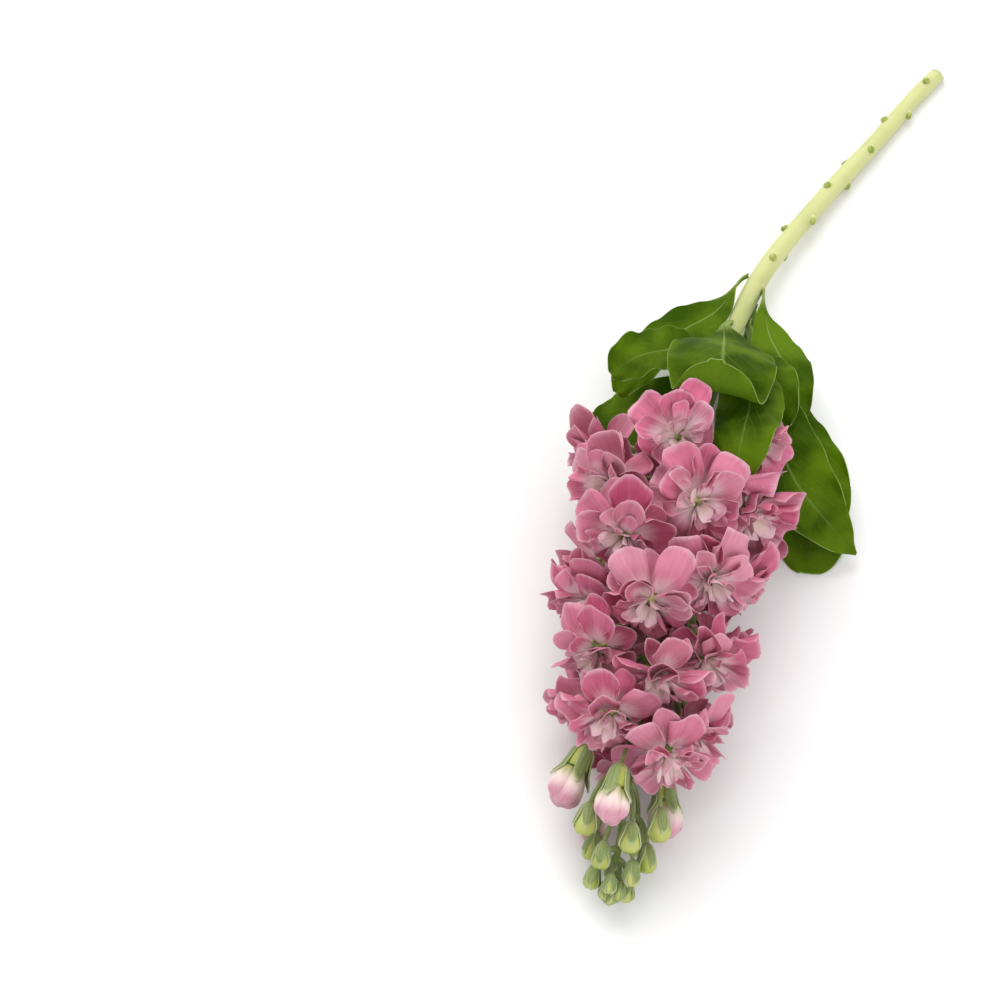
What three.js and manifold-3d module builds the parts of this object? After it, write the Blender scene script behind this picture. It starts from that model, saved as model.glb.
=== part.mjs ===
// One cut stem of double stock (Matthiola incana), lying on its side.
// It has a bowed stem with leaf scars, broad soft leaves, a spike of double florets and a tip of buds.
// Millimetres, +Z up. The bud tip points along -Y and the cut end along +Y, and the flower lies on z = 0.

import * as THREE from "three";
import { mergeVertices } from "three/addons/utils/BufferGeometryUtils.js";
import Module from "manifold-3d";

const wasm = await Module();
wasm.setup();

// The middle of the whole flower's outline on the ground, which becomes its origin
const MIDDLE = [-1.77, -1.03, 0];

// The stem's middle line, from its cut end to its tip
const STEM_LINE = [
  [18.6, 218.6, 3.5],
  [12.1, 197.7, 3.6],
  [3.8, 164.3, 4.2],
  [-7.2, 123.3, 5.8],
  [-17.9, 71.3, 9],
  [-19.1, 30, 14],
  [-17.3, -4, 20],
  [-13.9, -42.7, 27],
  [-8.7, -80.2, 33],
  [-2.5, -111.6, 34],
  [2.8, -139.2, 31],
  [7.2, -161.3, 27],
  [11.1, -181.7, 21],
  [15.4, -201, 15],
  [19.5, -222, 10],
];
// Distance from the cut end, and radius there
const STEM_GIRTH = [
  [0, 3.4],
  [60, 3.7],
  [160, 4.1],
  [250, 3.2],
  [380, 2],
  [440, 1],
];
const STEM_SIDES = 9;
const STEM_STEP = 15;
const CUT_SLANT = 0.9; // how far the cut leans along the stem, for each millimetre across it

const SCARS = 15;
const FIRST_SCAR = 9;
const SCAR_PITCH = 10.5;
const SCAR_TURN = 137.5;
const SCAR_HEIGHT = 1.3;
const SCAR_LENGTH = 3.4;
const SCAR_ROOT = 0.5; // where a scar starts, as a share of the stem's radius
const SCAR_LOWEST = 1.3; // height of the end of a scar on the stem's underside
const SCAR_PROFILE = [[0, 2.3], [0.6, 1.7], [1, 0.8]]; // share of its length, and radius there
const SCAR_SIDES = 4;

// The spike: florets and buds follow each other on one spiral up the stem.
// pitch is the step along the stem, reach the distance from the stem, lean the tilt towards the tip in
// degrees and size the radius. A pair gives the first and the last of its kind.
const FIRST_STATION = 257;
const FIRST_TURN = 171.6;
const SPIRAL_TURN = 138.6;
const SPIRAL = [
  { kind: "floret", count: 28, pitch: 4.7, reach: [32.5, 23], lean: [26, 47], size: [22, 18.5] },
  { kind: "opening_bud", count: 4, pitch: 4, reach: [30, 27], lean: [50, 56], size: [6.6, 5.6] },
  { kind: "green_bud", count: 11, pitch: 3.4, reach: [27, 13], lean: [58, 60], size: [4.1, 2.9] },
  { kind: "tip_bud", count: 7, pitch: 1.2, reach: [9, 4], lean: [60, 82], size: [2.5, 1.9] },
];
const SPIRAL_SEED = 41;
const TURN_SCATTER = 4;
const LOWEST_FLORET = 9; // height of the lowest florets' middles, where the spike's weight presses them
const PRESS = 4; // how softly they come to that height

const NEIGHBOUR_GAP = 4; // florets further apart than this don't shape each other

// Stalks, and the calyx that a floret or an opening bud sits in
const STALK_RADIUS = 1;
const STALK_SIDES = 5;
const STALK_BEND = 0.45; // where a stalk turns towards the tip, as a share of its reach
// How far behind the middle of what it carries a stalk ends, and a calyx's radius, as shares of its radius
const STALK_END = { floret: 0.07, opening_bud: 0.3, green_bud: 1, tip_bud: 1 };
const CALYX_RADIUS = { floret: 0.14, opening_bud: 0.72 };
const CALYX_LENGTH = 9;
const CALYX_PROFILE = [[-1, 0], [-0.7, 0.8], [0, 1]]; // shares of its length and radius, from the stalk up

// A closed bud's outline: distance past its middle and radius, as shares of its radius
const BUD_PROFILE = [[-0.5, 0.6], [1.1, 1], [1.9, 0.6]];
const BUD_STALK = 0.35; // the thickest stalk of a small bud, as a share of its radius
const TIP_BUD_SIDES = 4;

// Petals in their layers: how many, the lift of their middle line, half the angle of their fan, their
// length, droop and cup as shares of the floret's radius, the height that they grow from, and their rows.
const FLORET_SIZE = 22; // the first floret's radius
const LAYERS = [
  { petals: 5, lift: 3, fan: 36, length: 0.96, droop: 0.12, cup: 0.25, height: 1.6, rows: 2 },
  { petals: 4, lift: 25, fan: 39, length: 0.84, droop: 0.14, cup: 0.35, height: 3.2, rows: 1 },
];
// No two petals are alike: each is turned, lifted and scaled by up to this much
const PETAL_SCATTER = { turn: 4, lift: 5, scale: 0.07 };
const PETAL_THICKNESS = 0.7;
const PETAL_COLUMNS = 2;
const PETAL_ROUND = 0.3; // how far its shoulders stay behind its tip, as a share of its length
const PETAL_BELLY = 1.12; // how much wider than its fan a petal is low down
const PETAL_NARROWING = 0.3; // how much narrower than that it is at its tip
const PETAL_SHOULDER = 62; // widest bend of the outline, in degrees
const PETAL_TILT = 9; // each petal lies with one edge under the next
const PETAL_INSET = 1.3; // how far from the floret's axis a petal starts
const CORE = [[-1.2, 2.6], [4.6, 3.2]]; // height and radius of a floret's middle
const CORE_SIDES = 5;

// An opening bud's outline, as shares of its radius
const OPENING_PROFILE = [[-0.3, 0.68], [0.4, 1], [1.2, 0.9], [1.9, 0.3]];
const OPENING_SIDES = 7;

// A petal bends before it meets the next floret, a leaf or the ground, from this share of the way there.
// It bends up over an older floret, and down under a younger one.
const SQUEEZE_FROM = 0.6;
const SQUEEZE_LIFT = 0.6;
const PETAL_ROOM = 0.5; // how far the middle of a petal stays from there

// How far pieces that don't grow together stay apart
const CLEARANCE = 0.3;

// The leaves, from the lowest to the topmost. root is a leaf's place along the stem and its turn round it,
// rib the middle line after that, width its largest half width, point how pointed its tip is, cup how far
// its edges rise in radians, wave the depth of the waves in its edges and twist its turn about the rib at the
// stem and at the tip.
const LEAF_THICKNESS = 0.8;
const LEAF_ROWS = 7;
const LEAF_COLUMNS = 4;
const LEAF_WIDEST = 0.6; // where a leaf is widest, along its rib
const LEAF_END = 0.996; // where its rounded outline ends, along its rib
const LEAF_ROW_EASE = 1.4; // how much closer its rows lie towards the tip
const LEAF_NECK = 1.8; // half width of its foot, which lies along the stem
const LEAF_FOOT = 6;
const LEAF_RISE = 2;
const LEAF_TURNED = 0.35; // where it has turned from facing the stem to facing up, along its rib
const WAVES = 2.2; // along each edge
const WAVE_SHIFT = 2.3; // how far the waves of an edge are from those of the rib, in radians
const LAYER_GAP = 2.6; // between the middle surfaces of two leaves, one on the other
const LEAF_FREE_ROWS = 1; // rows at the stem, which keep their place in the pile
const LEAVES = [
  {
    name: "leaf_ground_right", root: [170, 215], width: 18, point: 0.38, cup: -0.1, wave: 1.2, twist: [0, 0],
    rib: [[-2, 4, 8], [17, -17, 5], [35, -37, 1], [43, -63, 0.4]],
  },
  {
    name: "leaf_ground_left", root: [214, 130], width: 15, point: 0.5, cup: -0.15, wave: 1, twist: [0, 0],
    rib: [[-28.5, 0, 10], [-38.6, -12, 5], [-48.7, -24, 1], [-57, -36, 0.4]],
  },
  {
    name: "leaf_back_right", root: [182, 245], width: 11, point: 0.5, cup: 0.3, wave: 2.4, twist: [0, 10],
    rib: [[5, 8, 11], [22, -12, 13], [38, -27, 12], [48, -42, 7]],
  },
  {
    name: "leaf_outer_right", root: [165, 280], width: 11, point: 0.5, cup: -0.25, wave: 2.2, twist: [0, 15],
    rib: [[-5, 33, 16], [6, 15, 22], [13, 0, 21], [16, -14, 12]],
  },
  {
    name: "leaf_long_right", root: [196, 288], width: 15, point: 0.85, cup: 0.35, wave: 3, twist: [0, 8],
    rib: [[2, -7, 30], [15, -29, 34], [29, -44, 29], [44, -49, 18], [58, -51, 6]],
  },
  {
    name: "leaf_left_back", root: [160, 80], width: 11, point: 0.5, cup: 0.3, wave: 2, twist: [0, 0],
    rib: [[-29, 38, 14], [-38, 20, 17], [-47, 2, 16], [-54, -14, 9]],
  },
  {
    name: "leaf_middle_right", root: [211, 336], width: 12, point: 0.5, cup: 0.2, wave: 1.2, twist: [0, 20],
    rib: [[-5, 0, 34], [5, -10, 39], [11, -21, 40], [14, -30, 33]],
  },
  {
    name: "leaf_left_upper", root: [200, 60], width: 12, point: 0.5, cup: 0.3, wave: 2.2, twist: [0, 0],
    rib: [[-28, 6, 28], [-37, -5, 34], [-46, -14, 36], [-54, -23, 32]],
  },
  {
    name: "leaf_folded_tip", root: [204, 345], width: 13, point: 0.6, cup: -0.4, wave: 1.2, twist: [0, 10],
    rib: [[-9, 3, 38], [1, -20, 48], [5, -36, 54], [7, -50, 60], [9, -62, 58], [12, -72, 49]],
  },
  {
    name: "leaf_curled_over", root: [192, 30], width: 21, point: 0.5, cup: -0.2, wave: 1, twist: [0, 0],
    rib: [[-18, 10, 33], [-14, -8, 50], [-10, -24, 58], [-8, -34, 57], [-8, -38, 64], [-10, -35, 76]],
  },
];

// Colours
const STEM_GREEN = new THREE.MeshStandardMaterial({ color: 0xb4c486, roughness: 0.6, metalness: 0 });
const LEAF_GREEN = new THREE.MeshStandardMaterial({ color: 0x46682a, roughness: 0.6, metalness: 0 });
const PETAL_PINK = new THREE.MeshStandardMaterial({ color: 0xd27ba2, roughness: 0.75, metalness: 0 });
const BUD_PINK = new THREE.MeshStandardMaterial({ color: 0xe3b0bd, roughness: 0.7, metalness: 0 });

const UP = new THREE.Vector3(0, 0, 1);
const CURVE_DIVISIONS = 600;
const radians = THREE.MathUtils.degToRad;
const lerp = THREE.MathUtils.lerp;
const vector = (point) => new THREE.Vector3(...point);

// Seeded draws between two values
function drawer(seed) {
  let state = seed;
  return (low, high) => {
    state = (state * 1664525 + 1013904223) % 4294967296;
    return lerp(low, high, state / 4294967296);
  };
}

function smoothCurve(points) {
  const curve = new THREE.CatmullRomCurve3(points, false, "catmullrom", 0.5);
  curve.arcLengthDivisions = CURVE_DIVISIONS;
  return curve;
}

const stemCurve = smoothCurve(STEM_LINE.map(vector));
const stemLength = stemCurve.getLength();

// A value from a list of pairs of place and value
function along(pairs, place) {
  const next = pairs.findIndex(([at]) => at > place);
  if (next < 0) return pairs.at(-1)[1];
  if (next === 0) return pairs[0][1];
  const [[from, low], [to, high]] = pairs.slice(next - 1, next + 1);
  return lerp(low, high, (place - from) / (to - from));
}

// The stem's middle at a station along it, the way it runs, and the ways left and up across it
function stemFrame(station) {
  const share = THREE.MathUtils.clamp(station / stemLength, 0, 1);
  const middle = stemCurve.getPointAt(share);
  const run = stemCurve.getTangentAt(share);
  const left = new THREE.Vector3().crossVectors(run, UP).normalize();
  const above = new THREE.Vector3().crossVectors(left, run);
  const outward = (turn) => left.clone().multiplyScalar(Math.sin(radians(turn)))
    .addScaledVector(above, Math.cos(radians(turn)));
  return { middle, run, outward };
}

// Solids

function volumeOf(corners, faces) {
  const corner = (index) => new THREE.Vector3().fromArray(corners, 3 * index);
  let volume = 0;
  for (let at = 0; at < faces.length; at += 3) {
    const [a, b, c] = [corner(faces[at]), corner(faces[at + 1]), corner(faces[at + 2])];
    volume += a.dot(b.cross(c)) / 6;
  }
  return volume;
}

// A geometry with its shared corners merged, and its faces without those that the merge closed up
function weld(geometry) {
  const bare = geometry.clone();
  bare.deleteAttribute("normal");
  bare.deleteAttribute("uv");
  const middle = mergeVertices(bare, 1e-4);
  const faces = [];
  for (let at = 0; at < middle.index.count; at += 3) {
    const [a, b, c] = middle.index.array.slice(at, at + 3);
    if (a !== b && b !== c && c !== a) faces.push(a, b, c);
  }
  return { middle, faces };
}

// The edges that only one face has, in the direction that the face has them
function openEdges(faces) {
  const edges = new Map();
  for (let at = 0; at < faces.length; at += 3) {
    for (const [from, to] of [[0, 1], [1, 2], [2, 0]]) {
      edges.set(`${faces[at + from]} ${faces[at + to]}`, [faces[at + from], faces[at + to]]);
    }
  }
  return [...edges.values()].filter(([from, to]) => !edges.has(`${to} ${from}`));
}

function toSolid(geometry) {
  const { middle, faces } = weld(geometry);
  const corners = middle.getAttribute("position").array;
  if (volumeOf(corners, faces) < 0) faces.reverse();
  return new wasm.Manifold(new wasm.Mesh({
    numProp: 3,
    vertProperties: new Float32Array(corners),
    triVerts: new Uint32Array(faces),
  }));
}

// A thin closed blade round a middle surface, which is given in rows of points. Both faces split alike.
function blade(surface, thickness) {
  const rows = surface.length - 1;
  const columns = surface[0].length - 1;
  const grid = new THREE.PlaneGeometry(1, 1, columns, rows);
  grid.getAttribute("position").copyArray(surface.flat().flatMap((point) => point.toArray()));
  const { middle, faces } = weld(grid);
  middle.setIndex(faces);
  middle.computeVertexNormals();
  const points = middle.getAttribute("position");
  const normals = middle.getAttribute("normal");
  const corners = [];
  for (const face of [1, -1]) {
    for (let index = 0; index < points.count; index += 1) {
      const point = new THREE.Vector3().fromBufferAttribute(points, index);
      const normal = new THREE.Vector3().fromBufferAttribute(normals, index);
      corners.push(...point.addScaledVector(normal, face * thickness / 2).toArray());
    }
  }
  const back = faces.map((index) => index + points.count).reverse();
  const rim = openEdges(faces).flatMap(([from, to]) => [
    to, from, from + points.count,
    to, from + points.count, to + points.count,
  ]);
  const geometry = new THREE.BufferGeometry();
  geometry.setAttribute("position", new THREE.Float32BufferAttribute(corners, 3));
  geometry.setIndex([...faces, ...back, ...rim]);
  return toSolid(geometry);
}

// A middle surface that reaches further past its two edges and its tip
function widened(surface, spare) {
  const pushed = (point, inner) => point.clone().add(point.clone().sub(inner).setLength(spare));
  const rows = surface.map((row) => (
    [pushed(row[0], row[1]), ...row.slice(1, -1), pushed(row.at(-1), row.at(-2))]));
  rows.push(rows.pop().map((point, column) => pushed(point, rows.at(-1)[column])));
  return rows;
}

// The world axis that a curve runs along least
function acrossOf(curve) {
  const sizes = curve.getPoint(1).sub(curve.getPoint(0)).toArray().map(Math.abs);
  return new THREE.Vector3().setComponent(sizes.indexOf(Math.min(...sizes)), 1);
}

// A round solid bent along a curve. Its profile is a list of pairs of distance along the curve and radius.
function bentRound(curve, profile, sides, { slant = 0, corner = acrossOf(curve) } = {}) {
  const ends = [profile[0], profile.at(-1)].map(([distance]) => [distance, 0]);
  const outline = [ends[0], ...profile, ends[1]];
  const corners2d = outline.map(([distance, radius]) => new THREE.Vector2(radius, distance));
  const geometry = new THREE.LatheGeometry(corners2d, sides);
  const corners = geometry.getAttribute("position");
  const length = curve.getLength();
  for (let index = 0; index < corners.count; index += 1) {
    const [x, distance, y] = corners.array.slice(3 * index, 3 * index + 3);
    const place = distance <= profile[0][0] ? distance + slant * x : distance;
    const share = THREE.MathUtils.clamp(place / length, 0, 1);
    const run = curve.getTangentAt(share);
    const side = new THREE.Vector3().crossVectors(run, corner).normalize();
    const other = new THREE.Vector3().crossVectors(side, run);
    const point = curve.getPointAt(share).addScaledVector(run, place - share * length);
    point.addScaledVector(side, x).addScaledVector(other, y);
    corners.setXYZ(index, point.x, point.y, point.z);
  }
  return toSolid(geometry);
}

function toMesh(name, solid, material) {
  const mesh = solid.getMesh();
  const geometry = new THREE.BufferGeometry();
  geometry.setAttribute("position", new THREE.Float32BufferAttribute(mesh.vertProperties, 3));
  geometry.setIndex(Array.from(mesh.triVerts));
  geometry.computeVertexNormals();
  const result = new THREE.Mesh(geometry, material);
  result.name = name;
  return result;
}

function largestPiece(solid) {
  return solid.decompose().sort((one, other) => other.volume() - one.volume())[0];
}

// The spike's layout

// Every floret and bud: where its stalk leaves the stem, its middle, the way it faces and its size
function spiralPlaces() {
  const draw = drawer(SPIRAL_SEED);
  const places = [];
  let station = FIRST_STATION;
  for (const { kind, count, pitch, reach, lean, size } of SPIRAL) {
    for (let index = 0; index < count; index += 1) {
      const share = index / (count - 1);
      const turn = FIRST_TURN + SPIRAL_TURN * places.length + draw(-TURN_SCATTER, TURN_SCATTER);
      const tilt = radians(lerp(...lean, share));
      const frame = stemFrame(station);
      const outward = frame.outward(turn);
      const leaning = outward.clone().multiplyScalar(Math.cos(tilt))
        .addScaledVector(frame.run, Math.sin(tilt));
      const middle = frame.middle.clone().addScaledVector(leaning, lerp(...reach, share));
      const radius = lerp(...size, share);
      const lowest = kind === "floret" ? LOWEST_FLORET : radius;
      const spare = middle.z - lowest;
      middle.z = lowest + (spare + Math.hypot(spare, PRESS)) / 2;
      const bend = frame.middle.clone().addScaledVector(outward, STALK_BEND * lerp(...reach, share));
      const facing = middle.clone().sub(bend).normalize();
      places.push({ kind, index, root: frame.middle, middle, radius, bend, facing, roll: draw(0, 360) });
      station += pitch;
    }
  }
  return places;
}

const places = spiralPlaces();

// The stem with all that is green on it

function stalkCurve({ kind, root, bend, middle, facing, radius }) {
  const end = middle.clone().addScaledVector(facing, -STALK_END[kind] * radius);
  return new THREE.QuadraticBezierCurve3(root, bend, end);
}

// A stalk with the calyx or the closed bud at its end
function stalkSolid(place, spare = 0) {
  const { kind, radius } = place;
  const curve = stalkCurve(place);
  const length = curve.getLength();
  const mouth = CALYX_RADIUS[kind];
  const stalk = mouth ? STALK_RADIUS : Math.min(STALK_RADIUS, BUD_STALK * radius);
  const head = mouth
    ? CALYX_PROFILE.map(([at, wide]) => [length + at * CALYX_LENGTH, Math.max(stalk, wide * mouth * radius)])
    : [[length - radius, stalk], ...BUD_PROFILE.map(([at, wide]) => [length + at * radius, wide * radius])];
  const profile = [[0, stalk], ...head].map(([at, size]) => [at, size + spare]);
  return bentRound(curve, profile, kind === "tip_bud" ? TIP_BUD_SIDES : STALK_SIDES);
}

function stemProfile() {
  const steps = Math.round(stemLength / STEM_STEP);
  return Array.from({ length: steps + 1 }, (_, index) => {
    const distance = stemLength * index / steps;
    return [distance, along(STEM_GIRTH, distance)];
  });
}

// A leaf scar: a short nub that leans towards the tip
function scarSolid(index) {
  const station = FIRST_SCAR + index * SCAR_PITCH;
  const frame = stemFrame(station);
  const outward = frame.outward(index * SCAR_TURN);
  const radius = along(STEM_GIRTH, station);
  const start = frame.middle.clone().addScaledVector(outward, SCAR_ROOT * radius);
  const end = frame.middle.clone().addScaledVector(outward, radius + SCAR_HEIGHT)
    .addScaledVector(frame.run, SCAR_LENGTH);
  end.z = Math.max(end.z, SCAR_LOWEST);
  const curve = new THREE.LineCurve3(start, end);
  const length = curve.getLength();
  return bentRound(curve, SCAR_PROFILE.map(([share, size]) => [share * length, size]), SCAR_SIDES);
}

function stemSolid(spare = 0) {
  const profile = stemProfile().map(([at, size]) => [at, size + spare]);
  const parts = [bentRound(stemCurve, profile, STEM_SIDES, { slant: CUT_SLANT })];
  for (const place of places) parts.push(stalkSolid(place, spare));
  if (!spare) for (let index = 0; index < SCARS; index += 1) parts.push(scarSolid(index));
  return wasm.Manifold.union(parts).trimByPlane([0, 0, 1], 0);
}

// Florets

// The half spaces that a floret keeps to: where it meets its neighbours, the leaves and the ground.
// Its petals reach to room, and bend up or down by lift before that.
function cellOf(place, leaves) {
  const { z } = place.middle;
  const walls = [{ normal: new THREE.Vector3(0, 0, -1), distance: z, room: z, lift: SQUEEZE_LIFT }];
  const addWall = (normal, distance, lift) => {
    walls.push({ normal: normal.normalize(), distance, room: distance - PETAL_ROOM, lift });
  };
  for (const leaf of leaves) {
    const nearest = leaf.flat().reduce((best, point) => (
      point.distanceTo(place.middle) < best.distanceTo(place.middle) ? point : best));
    const normal = nearest.clone().sub(place.middle);
    const between = normal.length();
    if (between < place.radius) addWall(normal, between - LEAF_THICKNESS / 2 - CLEARANCE, SQUEEZE_LIFT);
  }
  const rank = places.indexOf(place);
  places.forEach((other, otherRank) => {
    const normal = other.middle.clone().sub(place.middle);
    const between = normal.length();
    if (other === place || between > place.radius + other.radius + NEIGHBOUR_GAP) return;
    const share = place.radius / (place.radius + other.radius);
    addWall(normal, share * between - CLEARANCE / 2, otherRank < rank ? SQUEEZE_LIFT : -SQUEEZE_LIFT);
  });
  return walls;
}

// A point of a petal, bent along the way the floret faces before it meets a wall of the floret's cell
function squeezed(point, place, walls) {
  for (const { normal, room, lift } of walls) {
    const share = point.clone().sub(place.middle).dot(normal) / room;
    if (share < SQUEEZE_FROM) continue;
    const rest = 1 - SQUEEZE_FROM;
    const kept = SQUEEZE_FROM + rest * Math.tanh((share - SQUEEZE_FROM) / rest);
    const excess = (share - kept) * room;
    const rising = place.facing.clone().addScaledVector(normal, -place.facing.dot(normal));
    point.addScaledVector(normal, -excess).addScaledVector(rising.normalize(), lift * excess);
  }
  return point;
}

// The floret's axis and two ways across it
function floretFrame({ facing, roll }) {
  const across = new THREE.Vector3().crossVectors(facing, UP).normalize();
  across.applyAxisAngle(facing, radians(roll));
  return { across, other: new THREE.Vector3().crossVectors(facing, across) };
}

// A petal's middle surface, in rows from its root to its tip. It opens like a fan and has a round end.
function petalSurface(place, layer, { turn, lift, scale }, rows, columns) {
  const { across, other } = floretFrame(place);
  const out = across.clone().multiplyScalar(Math.cos(turn)).addScaledVector(other, Math.sin(turn));
  const side = new THREE.Vector3().crossVectors(place.facing, out);
  side.applyAxisAngle(out, radians(PETAL_TILT));
  const axis = new THREE.Vector3().crossVectors(out, side);
  const length = scale * layer.length * place.radius;
  const root = place.middle.clone().addScaledVector(place.facing, layer.height)
    .addScaledVector(out, PETAL_INSET);
  const surface = [];
  for (let row = 0; row <= rows; row += 1) {
    const share = row / rows;
    const widening = PETAL_BELLY - PETAL_NARROWING * share * share;
    surface.push(Array.from({ length: columns + 1 }, (_, column) => {
      const bend = radians(PETAL_SHOULDER) * (2 * column / columns - 1);
      const reach = share * length * (1 - PETAL_ROUND + PETAL_ROUND * Math.cos(bend));
      const spread = radians(layer.fan) * widening * Math.sin(bend);
      const [run, aside] = [reach * Math.cos(spread), reach * Math.sin(spread)];
      const curve = (layer.cup * aside * aside - layer.droop * run * run) / length;
      const height = run * Math.sin(lift) + curve;
      return root.clone().addScaledVector(out, run * Math.cos(lift))
        .addScaledVector(side, aside).addScaledVector(axis, height);
    }));
  }
  return surface;
}

function coreSolid(place) {
  const scale = place.radius / FLORET_SIZE;
  const curve = new THREE.LineCurve3(place.middle, place.middle.clone().add(place.facing));
  const corner = floretFrame(place).across.negate();
  const profile = CORE.map(([at, radius]) => [at * scale, radius * scale]);
  return bentRound(curve, profile, CORE_SIDES, { corner });
}

// A floret's core and petals, kept to its cell and clear of the stem and the leaves
function floretSolid(place, leaves, blocks) {
  const walls = cellOf(place, leaves);
  const parts = [coreSolid(place)];
  const draw = drawer(SPIRAL_SEED + place.index + 1);
  LAYERS.forEach((layer, level) => {
    for (let petal = 0; petal < layer.petals; petal += 1) {
      const stance = {
        turn: radians(360 * (petal + level / 2) / layer.petals + draw(-1, 1) * PETAL_SCATTER.turn),
        lift: radians(layer.lift + draw(-1, 1) * PETAL_SCATTER.lift),
        scale: 1 + draw(-1, 1) * PETAL_SCATTER.scale,
      };
      const surface = petalSurface(place, layer, stance, layer.rows, PETAL_COLUMNS);
      surface.flat().forEach((point) => squeezed(point, place, walls));
      parts.push(blade(surface, PETAL_THICKNESS));
    }
  });
  let solid = wasm.Manifold.union(parts);
  for (const { normal, distance } of walls) {
    solid = solid.trimByPlane(normal.clone().negate().toArray(), -distance - place.middle.dot(normal));
  }
  for (const block of blocks) solid = solid.subtract(block);
  return largestPiece(solid);
}

// The petals of an opening bud, still folded round each other
function openingSolid(place, blocks) {
  const { middle, facing, radius } = place;
  const curve = new THREE.LineCurve3(middle, middle.clone().add(facing));
  const profile = OPENING_PROFILE.map(([at, width]) => [at * radius + CLEARANCE, width * radius]);
  let solid = bentRound(curve, profile, OPENING_SIDES);
  for (const block of blocks) solid = solid.subtract(block);
  return largestPiece(solid.trimByPlane([0, 0, 1], 0));
}

// Leaves

function leafRib({ root: [station, turn], rib }) {
  const frame = stemFrame(station);
  const gap = along(STEM_GIRTH, station) + CLEARANCE + LEAF_THICKNESS / 2;
  const start = frame.middle.clone().addScaledVector(frame.outward(turn), gap);
  const next = start.clone().addScaledVector(frame.outward(turn), LEAF_RISE)
    .addScaledVector(frame.run, LEAF_FOOT);
  return smoothCurve([start, next, ...rib.map(vector)]);
}

function leafHalfWidth(share, { width, point }) {
  if (share < LEAF_WIDEST) {
    const rise = (1 - Math.cos(Math.PI * share / LEAF_WIDEST)) / 2;
    return lerp(LEAF_NECK, width, rise);
  }
  const past = (share - LEAF_WIDEST) / (1 - LEAF_WIDEST);
  return width * (1 - past * past) ** point;
}

// A leaf's middle surface, in rows of points from the stem to the tip
function leafSurface(leaf, rows, columns) {
  const rib = leafRib(leaf);
  const chord = rib.getPoint(1).sub(rib.getPoint(0));
  const across = new THREE.Vector3().crossVectors(chord, UP).normalize();
  const outward = stemFrame(leaf.root[0]).outward(leaf.root[1]);
  if (outward.z < 0) outward.negate();
  const surface = [];
  for (let row = 0; row <= rows; row += 1) {
    const share = LEAF_END * (1 - (1 - row / rows) ** LEAF_ROW_EASE);
    const middle = rib.getPointAt(share);
    const run = rib.getTangentAt(share);
    const face = new THREE.Vector3().crossVectors(across, run).normalize();
    face.applyAxisAngle(run, radians(lerp(...leaf.twist, share)));
    face.lerpVectors(outward, face, THREE.MathUtils.smoothstep(share, 0, LEAF_TURNED));
    face.addScaledVector(run, -face.dot(run)).normalize();
    const side = new THREE.Vector3().crossVectors(run, face);
    const half = leafHalfWidth(share, leaf);
    surface.push(Array.from({ length: columns + 1 }, (_, column) => {
      const place = 2 * column / columns - 1;
      const bend = leaf.cup * place;
      const phase = 2 * Math.PI * WAVES * share + WAVE_SHIFT * place;
      const wave = leaf.wave * place * place * Math.sin(phase) * share;
      const point = middle.clone().addScaledVector(side, half * Math.sin(bend) / leaf.cup);
      return point.addScaledVector(face, half * (1 - Math.cos(bend)) / leaf.cup + wave);
    }));
  }
  return surface;
}

// The height of a surface above a point of the ground, or nothing where it isn't above it
function heightOver(surface, x, y) {
  let height = -Infinity;
  for (let row = 1; row < surface.length; row += 1) {
    for (let column = 1; column < surface[row].length; column += 1) {
      const [a, b] = [surface[row - 1][column - 1], surface[row - 1][column]];
      const [c, d] = [surface[row][column], surface[row][column - 1]];
      for (const [one, two, three] of [[a, d, b], [d, c, b]]) {
        const area = (two.x - one.x) * (three.y - one.y) - (three.x - one.x) * (two.y - one.y);
        const second = ((x - one.x) * (three.y - one.y) - (three.x - one.x) * (y - one.y)) / area;
        const third = ((two.x - one.x) * (y - one.y) - (x - one.x) * (two.y - one.y)) / area;
        if (second < 0 || third < 0 || second + third > 1) continue;
        height = Math.max(height, one.z + second * (two.z - one.z) + third * (three.z - one.z));
      }
    }
  }
  return height;
}

// The leaves lie in turn on those before them
function pileOfLeaves(rows, columns) {
  const pile = [];
  for (const leaf of LEAVES) {
    const surface = leafSurface(leaf, rows, columns);
    for (const point of surface.slice(LEAF_FREE_ROWS).flat()) {
      const below = pile.map((other) => heightOver(other, point.x, point.y) + LAYER_GAP);
      point.z = Math.max(point.z, LEAF_THICKNESS / 2, ...below);
    }
    pile.push(surface);
  }
  return pile;
}

const leaves = pileOfLeaves(LEAF_ROWS, LEAF_COLUMNS);
const group = new THREE.Group();
group.position.set(...MIDDLE).negate();
group.add(toMesh("stem", largestPiece(stemSolid()), STEM_GREEN));
leaves.forEach((leaf, index) => {
  group.add(toMesh(LEAVES[index].name, blade(leaf, LEAF_THICKNESS), LEAF_GREEN));
});
const blocks = [stemSolid(CLEARANCE), ...leaves.map((leaf) => (
  blade(widened(leaf, CLEARANCE), LEAF_THICKNESS + 2 * CLEARANCE)))];
for (const place of places.filter(({ kind }) => kind === "floret")) {
  const name = `floret_${String(place.index + 1).padStart(2, "0")}`;
  group.add(toMesh(name, floretSolid(place, leaves, blocks), PETAL_PINK));
}
for (const place of places.filter(({ kind }) => kind === "opening_bud")) {
  group.add(toMesh(`opening_bud_${place.index + 1}`, openingSolid(place, blocks), BUD_PINK));
}

export default group;
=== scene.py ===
"""A cut stem of double stock, lying on a plain pale floor.

The petals, leaves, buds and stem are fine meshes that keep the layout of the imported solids, so the values
that place them are those of the solids. Lengths are in millimetres in the plant's own frame until a mesh is
made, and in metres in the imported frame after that."""

import math

import bpy
import numpy as np
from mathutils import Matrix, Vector
from mathutils.bvhtree import BVHTree


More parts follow.
